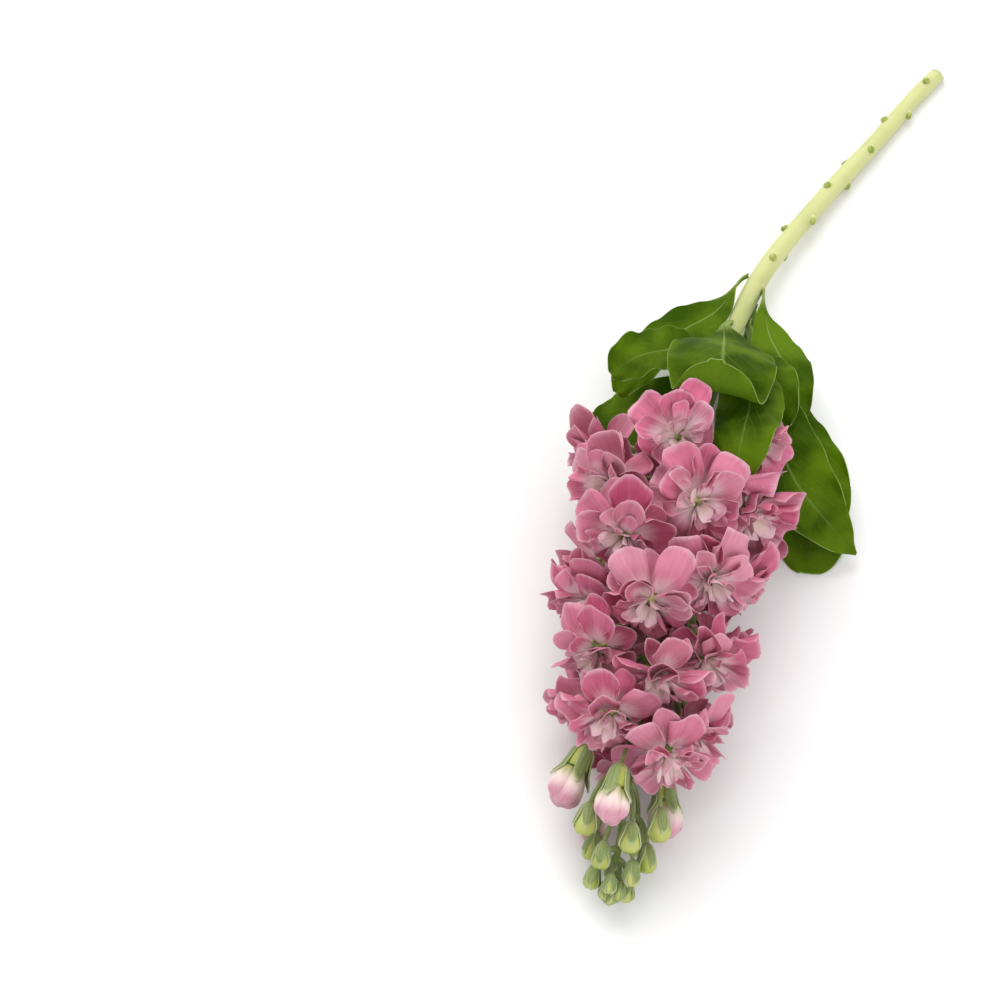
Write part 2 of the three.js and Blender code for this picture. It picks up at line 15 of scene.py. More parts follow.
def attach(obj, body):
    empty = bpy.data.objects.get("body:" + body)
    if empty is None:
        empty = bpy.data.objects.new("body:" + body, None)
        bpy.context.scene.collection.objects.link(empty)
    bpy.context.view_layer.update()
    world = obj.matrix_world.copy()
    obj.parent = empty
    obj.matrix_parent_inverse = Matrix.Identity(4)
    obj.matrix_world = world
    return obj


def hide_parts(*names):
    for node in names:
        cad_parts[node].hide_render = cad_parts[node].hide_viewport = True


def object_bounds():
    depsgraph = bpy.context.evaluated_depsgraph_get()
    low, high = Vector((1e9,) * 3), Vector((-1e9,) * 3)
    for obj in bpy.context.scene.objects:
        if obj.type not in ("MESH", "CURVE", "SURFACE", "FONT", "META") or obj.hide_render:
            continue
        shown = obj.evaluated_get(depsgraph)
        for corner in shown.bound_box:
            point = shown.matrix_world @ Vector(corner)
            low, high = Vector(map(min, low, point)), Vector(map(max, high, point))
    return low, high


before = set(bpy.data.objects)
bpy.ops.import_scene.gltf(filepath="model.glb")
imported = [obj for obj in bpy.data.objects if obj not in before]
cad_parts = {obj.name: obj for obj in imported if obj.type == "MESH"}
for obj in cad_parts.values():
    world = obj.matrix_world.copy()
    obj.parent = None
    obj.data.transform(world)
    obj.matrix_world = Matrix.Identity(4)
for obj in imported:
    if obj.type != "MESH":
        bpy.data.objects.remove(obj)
cad_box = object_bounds()

MILLIMETRE = 0.001
TINY = 1e-9  # keeps a division clear of nothing
UP = np.array([0.0, 0.0, 1.0])
MIDDLE = np.array([-1.77, -1.03, 0.0])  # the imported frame's origin, in the plant's own frame
CLEARANCE = 0.3

# The stem's middle line, from its cut end to its tip
STEM_LINE = [
    [18.6, 218.6, 3.5], [12.1, 197.7, 3.6], [3.8, 164.3, 4.2], [-7.2, 123.3, 5.8], [-17.9, 71.3, 9],
    [-19.1, 30, 14], [-17.3, -4, 20], [-13.9, -42.7, 27], [-8.7, -80.2, 33], [-2.5, -111.6, 34],
    [2.8, -139.2, 31], [7.2, -161.3, 27], [11.1, -181.7, 21], [15.4, -201, 15], [19.5, -222, 10],
]
# Pairs of station, which is the distance from the cut end, and radius
STEM_GIRTH = [[0, 3.4], [60, 3.7], [160, 4.1], [250, 3.2], [380, 2], [440, 1]]
STEM_SIDES = 28
STEM_STEP = 1.4
CUT_SLANT = 0.9
STEM_RIDGES = 5
RIDGE_DEPTH = 0.018
RIDGE_TURN = 60  # length of stem in which its ridges turn by one radian
KNOT_DEPTH = 0.025
KNOT_LENGTHS = [7.3, 17.1]
MARKED_LENGTH = 440  # length of stem over which its colour changes

SCARS = 15
FIRST_SCAR = 9
SCAR_PITCH = 10.5
SCAR_TURN = 137.5
SCAR_HEIGHT = 1.3
SCAR_LENGTH = 3.4
SCAR_ROOT = 0.5
SCAR_LOWEST = 1.3
SCAR_PROFILE = [[0, 2.3], [0.35, 2.0], [0.6, 1.65], [0.85, 1.2], [0.95, 0.95], [1, 0.6]]
SCAR_SIDES = 14

# The spike: florets and buds follow each other on one spiral up the stem
FIRST_STATION = 257
FIRST_TURN = 171.6
SPIRAL_TURN = 138.6
SPIRAL = [
    {"kind": "floret", "count": 28, "pitch": 4.7, "reach": [32.5, 23], "lean": [26, 47], "size": [22, 18.5]},
    {"kind": "opening_bud", "count": 4, "pitch": 4, "reach": [30, 27], "lean": [50, 56], "size": [6.6, 5.6]},
    {"kind": "green_bud", "count": 11, "pitch": 3.4, "reach": [27, 13], "lean": [58, 60], "size": [4.1, 2.9]},
    {"kind": "tip_bud", "count": 7, "pitch": 1.2, "reach": [9, 4], "lean": [60, 82], "size": [2.5, 1.9]},
]
SPIRAL_SEED = 41
TURN_SCATTER = 4
LOWEST_FLORET = 9
PRESS = 4
NEIGHBOUR_GAP = 4

# Stalks, calyces and buds. The profiles have pairs of distance and radius, as shares of the length of a calyx
# and of its mouth, or of a bud's radius.
STALK_RADIUS = 1
STALK_BEND = 0.45
STALK_END = {"floret": 0.07, "opening_bud": 0.3, "green_bud": 1, "tip_bud": 1}
CALYX_RADIUS = {"floret": 0.14, "opening_bud": 0.72}
CALYX_LENGTH = 9
CALYX_PROFILE = [[-1, 0], [-0.7, 0.8], [0, 1]]
BUD_PROFILE = [[-0.9, 0.3], [-0.5, 0.6], [0, 0.78], [0.6, 0.93], [1.1, 1], [1.5, 0.88], [1.9, 0.56]]
BUD_STALK = 0.35
STALK_ROWS = 16
STALK_SIDES = 10
STALK_WAIST = 0.8
STALK_FOOT = 0.6  # how much wider its foot is, which fades over STALK_FOOT_LENGTH
STALK_FOOT_LENGTH = 3
STALK_IN_CALYX = 0.8  # how deep a stalk ends in its calyx, as a share of the calyx's length
STALK_IN_BUD = 0.7  # and in its bud, as a share of the bud's radius
CALYX_ROWS = 12
CALYX_SIDES = 12
CALYX_BODY = 0.86
CALYX_BODY_ROWS = 8
CALYX_BODY_MARK = 0.5
CALYX_FOOT_ROWS = 10
CLASP_ROWS = 8
OPEN_CALYX_BODY = 0.9
BUD_ROWS = 16
BUD_BODY = 0.88
BUD_LOBES = 0.14
RIPE_SHIFT = 1.1
RIPE_SCATTER = 0.35
RIPE_SPREAD = 40
RIPE_HEIGHT = 0.8
YOUNG_TIP = 0.8
TIP_SPARE = 0.15
SEPALS = 4
SEPAL_COLUMNS = 7
SEPAL_ROWS = 14
SEPAL_THICKNESS = 0.5
SEPAL_SHOULDER = 0.3  # a sepal narrows from this share of its length on, over the next SEPAL_TAPER of it
SEPAL_TAPER = 0.72
SEPAL_POINT = 1.7
SEPAL_LEAST = 0.02
BUD_SEPAL_THICKNESS = [0.3, 0.04]  # a part of its own, and one for each millimetre of the bud's radius
CLOSING_RISE = [0.85, 1]
SEPAL_BULGE = 0.05
SEPAL_REACH = [0.04, 0.24]  # from where to where an opening bud's sepals clasp it
SEPAL_SPARE = 0.5
SEPAL_SPREAD = 49  # half the angle that a sepal goes round a closed bud or a floret's foot, in degrees
OPEN_SEPAL_SPREAD = 31
OPENING_PROFILE = [[-0.3, 0.66], [0.4, 1], [1.1, 1.08], [1.55, 0.95], [1.82, 0.6], [1.92, 0.05]]

# Petals in their layers, from the outermost in. Angles are in degrees, length is a share of the floret's
# radius, and height is in millimetres. depth goes from 0 outside to 1 in the middle, beyond says how far a
# petal may pass the next floret, folded is the share of petals that are folded, and solid marks the layers
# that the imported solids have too.
FLORET_SIZE = 22
LAYERS = [
    {"petals": 5, "start": 0.45, "lift": -16, "fan": 33, "length": 0.84, "droop": 0.2, "cup": 0.2,
     "height": 0.6, "depth": 0, "beyond": 0.4, "folded": 0.3, "solid": False},
    {"petals": 5, "start": 0, "lift": 3, "fan": 38, "length": 1.0, "droop": 0.12, "cup": 0.2,
     "height": 1.6, "depth": 0, "beyond": 1, "folded": 0.15, "solid": True},
    {"petals": 4, "start": 0.5, "lift": 25, "fan": 39, "length": 0.84, "droop": 0.14, "cup": 0.25,
     "height": 3.2, "depth": 0.1, "beyond": 0.3, "folded": 0.25, "solid": True},
    {"petals": 6, "start": 0.2, "lift": 34, "fan": 31, "length": 0.72, "droop": 0.16, "cup": 0.35,
     "height": 3.5, "depth": 0.3, "beyond": 0, "folded": 0.6, "solid": False},
    {"petals": 4, "start": 0.7, "lift": 50, "fan": 32, "length": 0.5, "droop": 0.05, "cup": 0.5,
     "height": 3.8, "depth": 0.6, "beyond": 0, "folded": 0.6, "solid": False},
    {"petals": 6, "start": 0.4, "lift": 60, "fan": 40, "length": 0.34, "droop": -0.3, "cup": 0.7,
     "height": 4.2, "depth": 1, "beyond": 0, "folded": 0.1, "solid": False},
]
PETAL_SCATTER = {"turn": 4, "lift": 5, "scale": 0.07}
PETAL_ROUND = 0.42
PETAL_BELLY = 1.12
PETAL_NARROWING = 0.3
PETAL_SHOULDER = 90
PETAL_TILT = 9
PETAL_INSET = 1.3
CORE = [[-1.2, 2.6], [0, 3.4], [1.4, 3.7], [3, 3.2], [4.2, 2.4]]
CORE_ROWS = 9
CORE_SIDES = 16

# What each petal draws for itself, in this order. Depths are shares of its length, angles are in degrees.
INNER_SCATTER = 2.4  # how much more than the outer ones the inner petals are scattered
DRAWN = {
    "slack": [-0.2, 0.4],  # added to the cup
    "curl": [-0.26, 0.28],  # how far its end rolls down or up
    "ruffle": [0.03, 0.1],  # depth of the waves across its end
    "rim_curl": [-0.1, 0.12],  # how far its margin turns down or up
    "warp": [-0.14, 0.14],  # how far one side of its end stands above the other
    "waves": [0.9, 2.6],
    "crease": [0, 0.16],  # depth of the sharp folds that run along it
    "creases": [1.2, 3],
    "bent": [0, math.pi],
    "phase": [0, 2 * math.pi],
    "notch": [-0.05, 0.05],  # no notch below 0
    "lopsided": [-0.08, 0.08],
    "fold": [0, 1],  # from the first to the last value of FOLD or FLAT
    "roll": [-9, 9],  # turn about its own length
    "tone": [0, 1],
}
FOLD = [0.4, 1.0]  # how far the halves of a folded petal stand up, in radians
FLAT = [0, 0.22]  # and of the others
INNER_ROLL = 3  # how much more the inner petals roll
INNER_EASE = {"inset": 0.3, "slack": -1, "curl": 0.8, "ruffle": 0.5}  # less in the innermost, or more
NOTCH_WIDTH = 0.22
CURL_RISE = [0.45, 1.1]
CURL_POWER = 1.5
RUFFLE_POWER = 2.5
SIDE_WAVE = 0.05
SIDE_WAVES = 7
SIDE_POWER = 4
RIM_RISE = [0.6, 1]
CREASE_POWER = 1.5
CREASE_LEVEL = 0.6
RAGGED = 0.035
RAGGED_WAVES = 8
FOLD_RISE = [0, 0.6]
CLAW = 0.42  # width of a petal's foot, as a share of its fan
CLAW_END = 0.38
PETAL_MIDDLE = 0.42  # thickness
PETAL_EDGE = 0.12
PETAL_THIN_FROM = 0.5
FINE_SEED = 700
OPENING_SEED = 800
BUD_SEED = 900

# A petal bends before it meets the next floret, a leaf or the ground, from this share of the way there.
# It bends up over an older floret, and down under a younger one, and the outermost pass each other.
SQUEEZE_FROM = 0.6
SQUEEZE_LIFT = 0.85
PETAL_LONGEST = 1.15  # a petal that would reach further past such a place than this share is smaller
SHORTENING = 0.85
PASS_OVER = 5
PASS_UNDER = 2.5
LEAF_GAP = 1.2  # between a petal's and a leaf's middle surfaces
LEAF_REACH = 1.6  # how near a leaf has to be to a floret, as a share of its radius, to bend its petals
LEAF_MARGIN = 3  # how far past a leaf's edge it still bends them
LEAF_DEPTH = 14
LEAF_STEPS = 4
LEAF_NEAR = 0.5  # up to this far aside, a leaf bends a petal with full strength
PUSH_REACH = 2  # how many rows and columns beside it a push of a petal's point is shared with

# The leaves, from the lowest to the topmost. root is the station and the turn round the stem, in degrees,
# where a leaf leaves it, width is half its greatest one, and rib its midrib's way from there to its tip.
LEAF_THICKNESS = 0.8
LEAF_ROWS = 7
LEAF_COLUMNS = 4
LEAF_WIDEST = 0.6
LEAF_END = 0.996
LEAF_ROW_EASE = 1.4
LEAF_NECK = 1.8
LEAF_FOOT = 6
LEAF_RISE = 2
LEAF_TURNED = 0.35
WAVES = 2.2
WAVE_SHIFT = 2.3
LAYER_GAP = 2.6
LEAF_FREE_ROWS = 1
LEAF_POINT = 0.5
LEAVES = [
    {"name": "leaf_ground_right", "root": [170, 215], "width": 18, "point": 0.38, "cup": -0.1, "wave": 1.2,
     "rib": [[-2, 4, 8], [17, -17, 5], [35, -37, 1], [43, -63, 0.4]]},
    {"name": "leaf_ground_left", "root": [214, 130], "width": 15, "cup": -0.15, "wave": 1,
     "rib": [[-28.5, 0, 10], [-38.6, -12, 5], [-48.7, -24, 1], [-57, -36, 0.4]]},
    {"name": "leaf_back_right", "root": [182, 245], "width": 11, "cup": 0.3, "wave": 2.4,
     "twist": 10, "rib": [[5, 8, 11], [22, -12, 13], [38, -27, 12], [48, -42, 7]]},
    {"name": "leaf_outer_right", "root": [165, 280], "width": 11, "cup": -0.25, "wave": 2.2,
     "twist": 15, "rib": [[-5, 33, 16], [6, 15, 22], [13, 0, 21], [16, -14, 12]]},
    {"name": "leaf_long_right", "root": [196, 288], "width": 15, "point": 0.85, "cup": 0.35, "wave": 3,
     "twist": 8, "rib": [[2, -7, 30], [15, -29, 34], [29, -44, 29], [44, -49, 18], [58, -51, 6]]},
    {"name": "leaf_left_back", "root": [160, 80], "width": 11, "cup": 0.3, "wave": 2,
     "rib": [[-29, 38, 14], [-38, 20, 17], [-47, 2, 16], [-54, -14, 9]]},
    {"name": "leaf_middle_right", "root": [211, 336], "width": 12, "cup": 0.2, "wave": 1.2,
     "twist": 20, "rib": [[-5, 0, 34], [5, -10, 39], [11, -21, 40], [14, -30, 33]]},
    {"name": "leaf_left_upper", "root": [200, 60], "width": 12, "cup": 0.3, "wave": 2.2,
     "rib": [[-28, 6, 28], [-37, -5, 34], [-46, -14, 36], [-54, -23, 32]]},
    {"name": "leaf_folded_tip", "root": [204, 345], "width": 13, "point": 0.6, "cup": -0.4, "wave": 1.2,
     "twist": 10,
     "rib": [[-9, 3, 38], [1, -20, 48], [5, -36, 54], [7, -50, 60], [9, -62, 58], [12, -72, 49]]},
    {"name": "leaf_curled_over", "root": [192, 30], "width": 21, "cup": -0.2, "wave": 1,
     "rib": [[-18, 10, 33], [-14, -8, 50], [-10, -24, 58], [-8, -34, 57], [-8, -38, 64], [-10, -35, 76]]},
]
FINE_LEAF_ROWS = 66
FINE_LEAF_COLUMNS = 33
LEAF_EDGE = 0.3
RIB_GROOVE = 0.45
RIB_WIDTH = 0.07
RIPPLE = 1.1  # the small waves along a leaf's margin
RIPPLE_WAVES = 2.7
RIPPLE_SHIFT = 5
RIPPLE_RISE = [0.2, 0.7]

# The photograph's view
CAMERA_PLACE = [94.5, -510.7, 671.7]
CAMERA_AIM = [-80, -74, 0]
CAMERA_LENS = 75
CAMERA_SENSOR = 36

# The floor, the sky and the lights
FLOOR_HALF = 6.0
FLOOR_COLOUR = (0.86, 0.855, 0.85, 1)
SKY_COLOUR = (0.97, 0.98, 1, 1)
SKY_STRENGTH = 0.82
LIGHTS = [
    {"name": "window", "place": (-1.2, 1.3, 2.1), "size": 3, "power": 66, "colour": (1, 0.985, 0.96)},
    {"name": "fill", "place": (1.6, -1.2, 1.6), "size": 2.2, "power": 22, "colour": (0.98, 0.985, 1)},
]

# The seeded draws
DRAW_FACTOR = 1664525
DRAW_SHIFT = 1013904223
DRAW_RANGE = 2 ** 32


def lerp(low, high, share):
    return low + (high - low) * share


def smoothstep(value, low, high):
    share = np.clip((value - low) / (high - low), 0, 1)
    return share * share * (3 - 2 * share)


def unit(vectors):
    return vectors / np.linalg.norm(vectors, axis=-1, keepdims=True)


def turned(vector, axis, angle):
    """A vector turned about an axis, by an angle in radians."""
    cos, sin = math.cos(angle), math.sin(angle)
    return vector * cos + np.cross(axis, vector) * sin + axis * np.dot(axis, vector) * (1 - cos)


def drawer(seed):
    """Seeded draws between two values."""
    state = seed

    def draw(low, high):
        nonlocal state
        state = (state * DRAW_FACTOR + DRAW_SHIFT) % DRAW_RANGE
        return lerp(low, high, state / DRAW_RANGE)

    return draw


class Curve:
    """A curve with places given by their share of its length."""

    NUDGE = 1e-4

    def __init__(self, point, divisions=600):
        self.point = point
        self.steps = np.linspace(0, 1, divisions + 1)
        lengths = np.linalg.norm(np.diff(point(self.steps), axis=0), axis=1)
        self.reached = np.concatenate([[0], np.cumsum(lengths)])
        self.length = self.reached[-1]

    def step(self, share):
        return np.interp(np.asarray(share, float) * self.length, self.reached, self.steps)

    def at(self, share):
        return self.point(self.step(share))

    def run(self, share):
        step = self.step(share)
        ahead = self.point(np.minimum(step + self.NUDGE, 1))
        behind = self.point(np.maximum(step - self.NUDGE, 0))
        return unit(ahead - behind)


def smooth_at(values, steps):
    """Values or points at even steps, read at other steps on a smooth curve through them."""
    values = np.array(values, float)
    place = np.asarray(steps, float) * (len(values) - 1)
    at = np.minimum(place.astype(int), len(values) - 2)
    share = (place - at).reshape(place.shape + (1,) * (values.ndim - 1))
    outer = np.concatenate([2 * values[:1] - values[1:2], values, 2 * values[-1:] - values[-2:-1]])
    before, start, end, after = (outer[at + offset] for offset in range(4))
    leave, arrive = (end - before) / 2, (after - start) / 2
    square = -3 * start + 3 * end - 2 * leave - arrive
    cube = 2 * start - 2 * end + leave + arrive
    return start + share * (leave + share * (square + share * cube))


def smooth_curve(points):
    return Curve(lambda step: smooth_at(points, step))


def bend_curve(start, bend, end):
    """A curve from start to end that leaves and arrives towards bend."""

    def point(step):
        share = np.asarray(step, float)[..., None]
        return (1 - share) ** 2 * start + 2 * share * (1 - share) * bend + share ** 2 * end

    return Curve(point, divisions=200)


def line_curve(start, end):
    return Curve(lambda step: lerp(start, end, np.asarray(step, float)[..., None]), divisions=2)


stem_curve = smooth_curve(STEM_LINE)


def stem_frame(station):
    """The stem's middle at a station, the way it runs and a function for the way out at a turn round it."""
    share = min(max(station / stem_curve.length, 0), 1)
    middle, run = stem_curve.at(share), stem_curve.run(share)
    left = unit(np.cross(run, UP))
    above = np.cross(left, run)

    def outward(turn):
        return left * math.sin(math.radians(turn)) + above * math.cos(math.radians(turn))

    return middle, run, outward


def along(pairs, place):
    """A value from a list of pairs of place and value."""
    return np.interp(place, *np.array(pairs, float).T)


def rounded(pairs, steps):
    """A list of pairs made finer, on a smooth curve through them."""
    return smooth_at(pairs, np.linspace(0, 1, steps))


def around(count):
    """Even angles, all the way round."""
    return 2 * np.pi * np.arange(count) / count


def rolled_axes(place):
    """The two ways across the way that a flower faces, turned by its own roll."""
    facing = place["facing"]
    across = turned(unit(np.cross(facing, UP)), facing, math.radians(place["roll"]))
    return across, np.cross(facing, across)


def ring_axes(curve, distances):
    """The points at some distances along a curve, and past its ends, and the two ways across it there."""
    corner = np.eye(3)[np.argmin(np.abs(curve.at(1) - curve.at(0)))]
    share = np.clip(distances / curve.length, 0, 1)
    run = curve.run(share)
    side = unit(np.cross(run, corner))
    return curve.at(share) + run * (distances - share * curve.length)[..., None], side, np.cross(side, run)


def blade_marks(shares, spots):
    """How far along and across a blade each of its points lies, and how near its margin."""
    share, across = np.meshgrid(shares, spots, indexing="ij")
    return {"along": share, "across": across, "rim": np.maximum(np.abs(across), share)}


def spiral_places():
    """Every floret and bud: where its stalk leaves the stem, its middle, the way it faces and its size."""
    draw = drawer(SPIRAL_SEED)
    places = []
    station = FIRST_STATION
    for row in SPIRAL:
        for index in range(row["count"]):
            share = index / (row["count"] - 1)
            turn = FIRST_TURN + SPIRAL_TURN * len(places) + draw(-TURN_SCATTER, TURN_SCATTER)
            tilt = math.radians(lerp(*row["lean"], share))
            reach = lerp(*row["reach"], share)
            root, run, outward = stem_frame(station)
            out = outward(turn)
            middle = root + (out * math.cos(tilt) + run * math.sin(tilt)) * reach
            radius = lerp(*row["size"], share)
            lowest = LOWEST_FLORET if row["kind"] == "floret" else radius
            spare = middle[2] - lowest
            middle[2] = lowest + (spare + math.hypot(spare, PRESS)) / 2
            bend = root + out * STALK_BEND * reach
            places.append({
                "kind": row["kind"], "index": index, "root": root, "middle": middle, "radius": radius,
                "bend": bend, "facing": unit(middle - bend), "roll": draw(0, 360), "share": share,
            })
            station += row["pitch"]
    return places


# Meshes

MARKS = ("along", "across", "rim", "under", "tone", "depth")

# Which material of a piece a face has
PETAL, THROAT = range(2)
BARE, SCAR, STALK, SEPAL, BUD = range(5)


class Piece:
    """A mesh in the making: points, faces, marks for the materials, and which material each face has."""

    def __init__(self):
        self.points, self.faces, self.kinds = [], [], []
        self.marks = {mark: [] for mark in MARKS}
        self.count = 0

    def add(self, points, faces, kind=0, **marks):
        self.points.append(points)
        self.faces += [tuple(corner + self.count for corner in face) for face in faces]
        self.kinds += [kind] * len(faces)
        for mark in MARKS:
            self.marks[mark].append(np.broadcast_to(marks.get(mark, 0), len(points)))
        self.count += len(points)

    def make(self, name, materials, slot, nodes):
        """The finished object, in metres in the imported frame, in place of its CAD nodes."""
        mesh = bpy.data.meshes.new(name)
        points = (np.concatenate(self.points) - MIDDLE) * MILLIMETRE
        points = np.clip(points, *cad_box)
        mesh.from_pydata(points.tolist(), [], self.faces)
        for mark, values in self.marks.items():
            layer = mesh.attributes.new(mark, "FLOAT", "POINT")
            layer.data.foreach_set("value", np.concatenate(values).astype(np.float32))
        for material in materials:
            mesh.materials.append(material)
        mesh.polygons.foreach_set("material_index", self.kinds)
        mesh.polygons.foreach_set("use_smooth", [True] * len(self.faces))
        mesh.update()
        piece = bpy.data.objects.new(name, mesh)
        bpy.context.scene.collection.objects.link(piece)
        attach(piece, "root")
        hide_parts(*nodes)


def grid_faces(rows, columns, closed=False):
    """The faces of a grid of points, in rows. A closed one joins its last column to its first."""
    wide = columns if closed else columns - 1
    faces = []
    for row in range(rows - 1):
        for column in range(wide):
            after = (column + 1) % columns
            faces.append((row * columns + column, row * columns + after,
                          (row + 1) * columns + after, (row + 1) * columns + column))
    return faces


def surface_normals(surface):
    along_rows = np.gradient(surface, axis=0)
    along_columns = np.gradient(surface, axis=1)
    normals = np.cross(along_columns, along_rows)
    return normals / np.maximum(np.linalg.norm(normals, axis=-1, keepdims=True), TINY)


def add_shell(piece, surface, thickness, kind=0, **marks):
    """A closed thin shell round a middle surface, which is given in rows of points."""
    rows, columns = surface.shape[:2]
    offset = surface_normals(surface) * np.broadcast_to(thickness, (rows, columns))[..., None] / 2
    front = (surface - offset).reshape(-1, 3)
    back = (surface + offset).reshape(-1, 3)
    size = rows * columns
    upper = grid_faces(rows, columns)
    lower = [tuple(corner + size for corner in reversed(face)) for face in upper]
    grid = np.arange(size).reshape(rows, columns)
    loop = np.concatenate([grid[0], grid[1:, -1], grid[-1, -2::-1], grid[-2:0:-1, 0]]).tolist()
    sides = [(loop[at], loop[at - 1], loop[at - 1] + size, loop[at] + size) for at in range(len(loop))]
    doubled = {}
    for mark, values in marks.items():
        flat = np.broadcast_to(values, (rows, columns)).reshape(-1)
        doubled[mark] = np.concatenate([flat, flat])
    doubled["under"] = np.concatenate([np.zeros(size), np.ones(size)])
    piece.add(np.concatenate([front, back]), upper + lower + sides, kind, **doubled)


def add_round(piece, curve, profile, sides, kind=0, slant=0, shape=1, **marks):
    """A round solid bent along a curve. Its profile has pairs of distance along the curve and radius, and
    shape multiplies the radius by row and side."""
    distances, radii = np.array(profile, float).T
    scale = radii[:, None] * shape
    aside, other = scale * np.sin(around(sides)), scale * np.cos(around(sides))
    places = np.broadcast_to(distances[:, None], aside.shape).copy()
    places[0] += slant * aside[0]
    middles, side, third = ring_axes(curve, places)
    points = middles + side * aside[..., None] + third * other[..., None]
    rows = len(distances)
    ends = np.array([points[0].mean(0), points[-1].mean(0)])
    faces = grid_faces(rows, sides, closed=True)
    faces += [(rows * sides, (column + 1) % sides, column) for column in range(sides)]
    last = (rows - 1) * sides
    faces += [(rows * sides + 1, last + column, last + (column + 1) % sides) for column in range(sides)]
    spread = {}
    for mark, values in marks.items():
        flat = np.broadcast_to(np.reshape(values, (-1, 1)), (rows, sides)).reshape(-1)
        spread[mark] = np.concatenate([flat, [flat[0], flat[-1]]])
    piece.add(np.concatenate([points.reshape(-1, 3), ends]), faces, kind, **spread)


# Florets

def leaf_walls(place, leaves):
    """Where each near leaf comes closest to a floret."""
    walls = []
    for leaf in leaves:
        gaps = np.linalg.norm(leaf.reshape(-1, 3) - place["middle"], axis=1)
        between = gaps.min()
        if between <= place["radius"]:
            normal = unit(leaf.reshape(-1, 3)[gaps.argmin()] - place["middle"])
            walls.append((normal, between - LEAF_THICKNESS / 2 - CLEARANCE, SQUEEZE_LIFT, 0))
    return walls


def cell_of(place, places, leaves):
    """The planes that a floret keeps to: where it meets its neighbours, the leaves and the ground."""
    walls = [(-UP, place["middle"][2], SQUEEZE_LIFT, 0)] + leaf_walls(place, leaves)
    own = places.index(place)
    for index, other in enumerate(places):
        if index == own:
            continue
        between = np.linalg.norm(other["middle"] - place["middle"])
        if between <= place["radius"] + other["radius"] + NEIGHBOUR_GAP:
            share = place["radius"] / (place["radius"] + other["radius"])
            normal = (other["middle"] - place["middle"]) / between
            over = index < own
            beyond = 0 if other["kind"] != "floret" else PASS_OVER if over else PASS_UNDER
            lift = SQUEEZE_LIFT if over else -SQUEEZE_LIFT
            walls.append((normal, share * between - CLEARANCE / 2, lift, beyond))
    return walls


def squeezed(points, place, walls, open_share):
    """Points of a petal, bent along the way the floret faces before they meet a wall of its cell."""
    rest = 1 - SQUEEZE_FROM
    for normal, distance, lift, beyond in walls:
        room = distance + beyond * open_share
        share = (points - place["middle"]) @ normal / room
        kept = np.where(share < SQUEEZE_FROM, share,
                        SQUEEZE_FROM + rest * np.tanh((share - SQUEEZE_FROM) / rest))
        excess = ((share - kept) * room)[..., None]
        rising = unit(place["facing"] - normal * np.dot(place["facing"], normal))
        points = points - normal * excess + rising * lift * excess
    return points


def shortened(points, place, walls, open_share):
    """A petal made smaller where its end would reach far past a wall of its cell."""
    past = max(((points - place["middle"]) @ normal).max() / (distance + beyond * open_share)
               for normal, distance, _, beyond in walls[1:])
    foot = points[0].mean(0)
    return foot + (points - foot) * min(1, PETAL_LONGEST / max(past, 1)) ** SHORTENING


def clear_of_leaves(points, place, leaf_trees):
    """Points of a petal, bent to the floret's side of the leaves that lie near it."""
    for tree in leaf_trees:
        spot, normal, _, gap = tree.find_nearest(Vector(place["middle"]))
        if gap > LEAF_REACH * place["radius"]:
            continue
        near_side = 1 if np.dot(place["middle"] - np.array(spot), normal) > 0 else -1
        for _ in range(LEAF_STEPS):
            push = np.array([[short_of(tree, point, near_side) for point in row] for row in points])
            if not push.any():
                break
            points = points + spread(push)
    return points


def short_of(tree, point, near_side):
    """How far a point has to move to lie on the near side of a leaf."""
    spot, normal, _, _ = tree.find_nearest(Vector(point))
    outward = np.array(normal) * near_side
    offset = point - np.array(spot)
    height = np.dot(offset, outward)
    aside = np.linalg.norm(offset - outward * height)
    short = LEAF_GAP - height
    if short <= 0 or aside > LEAF_MARGIN or height < -LEAF_DEPTH:
        return np.zeros(3)
    return outward * short * (1 - smoothstep(aside, LEAF_NEAR, LEAF_MARGIN))


def spread(push):
    """A push of some points of a petal, shared smoothly with those beside them."""
    padded = np.pad(push, [(PUSH_REACH, PUSH_REACH)] * 2 + [(0, 0)], mode="edge")
    rows, columns = push.shape[:2]
    shifts = range(2 * PUSH_REACH + 1)
    shifted = [padded[down:down + rows, over:over + columns] for down in shifts for over in shifts]
    strength = np.linalg.norm(push, axis=-1).max()
    mean = sum(shifted) / len(shifted)
    return mean * strength / max(np.linalg.norm(mean, axis=-1).max(), TINY)


# The shares of a petal's length and half width at which its mesh has points
PETAL_SHARES = [0.07, 0.16, 0.27, 0.38, 0.49, 0.59, 0.68, 0.76, 0.83, 0.9, 0.95, 0.985, 1]
PETAL_HALF = [0.15, 0.3, 0.45, 0.6, 0.74, 0.87, 0.97, 1]
PETAL_MARKS = blade_marks(PETAL_SHARES, [*np.negative(PETAL_HALF[::-1]), 0, *PETAL_HALF])


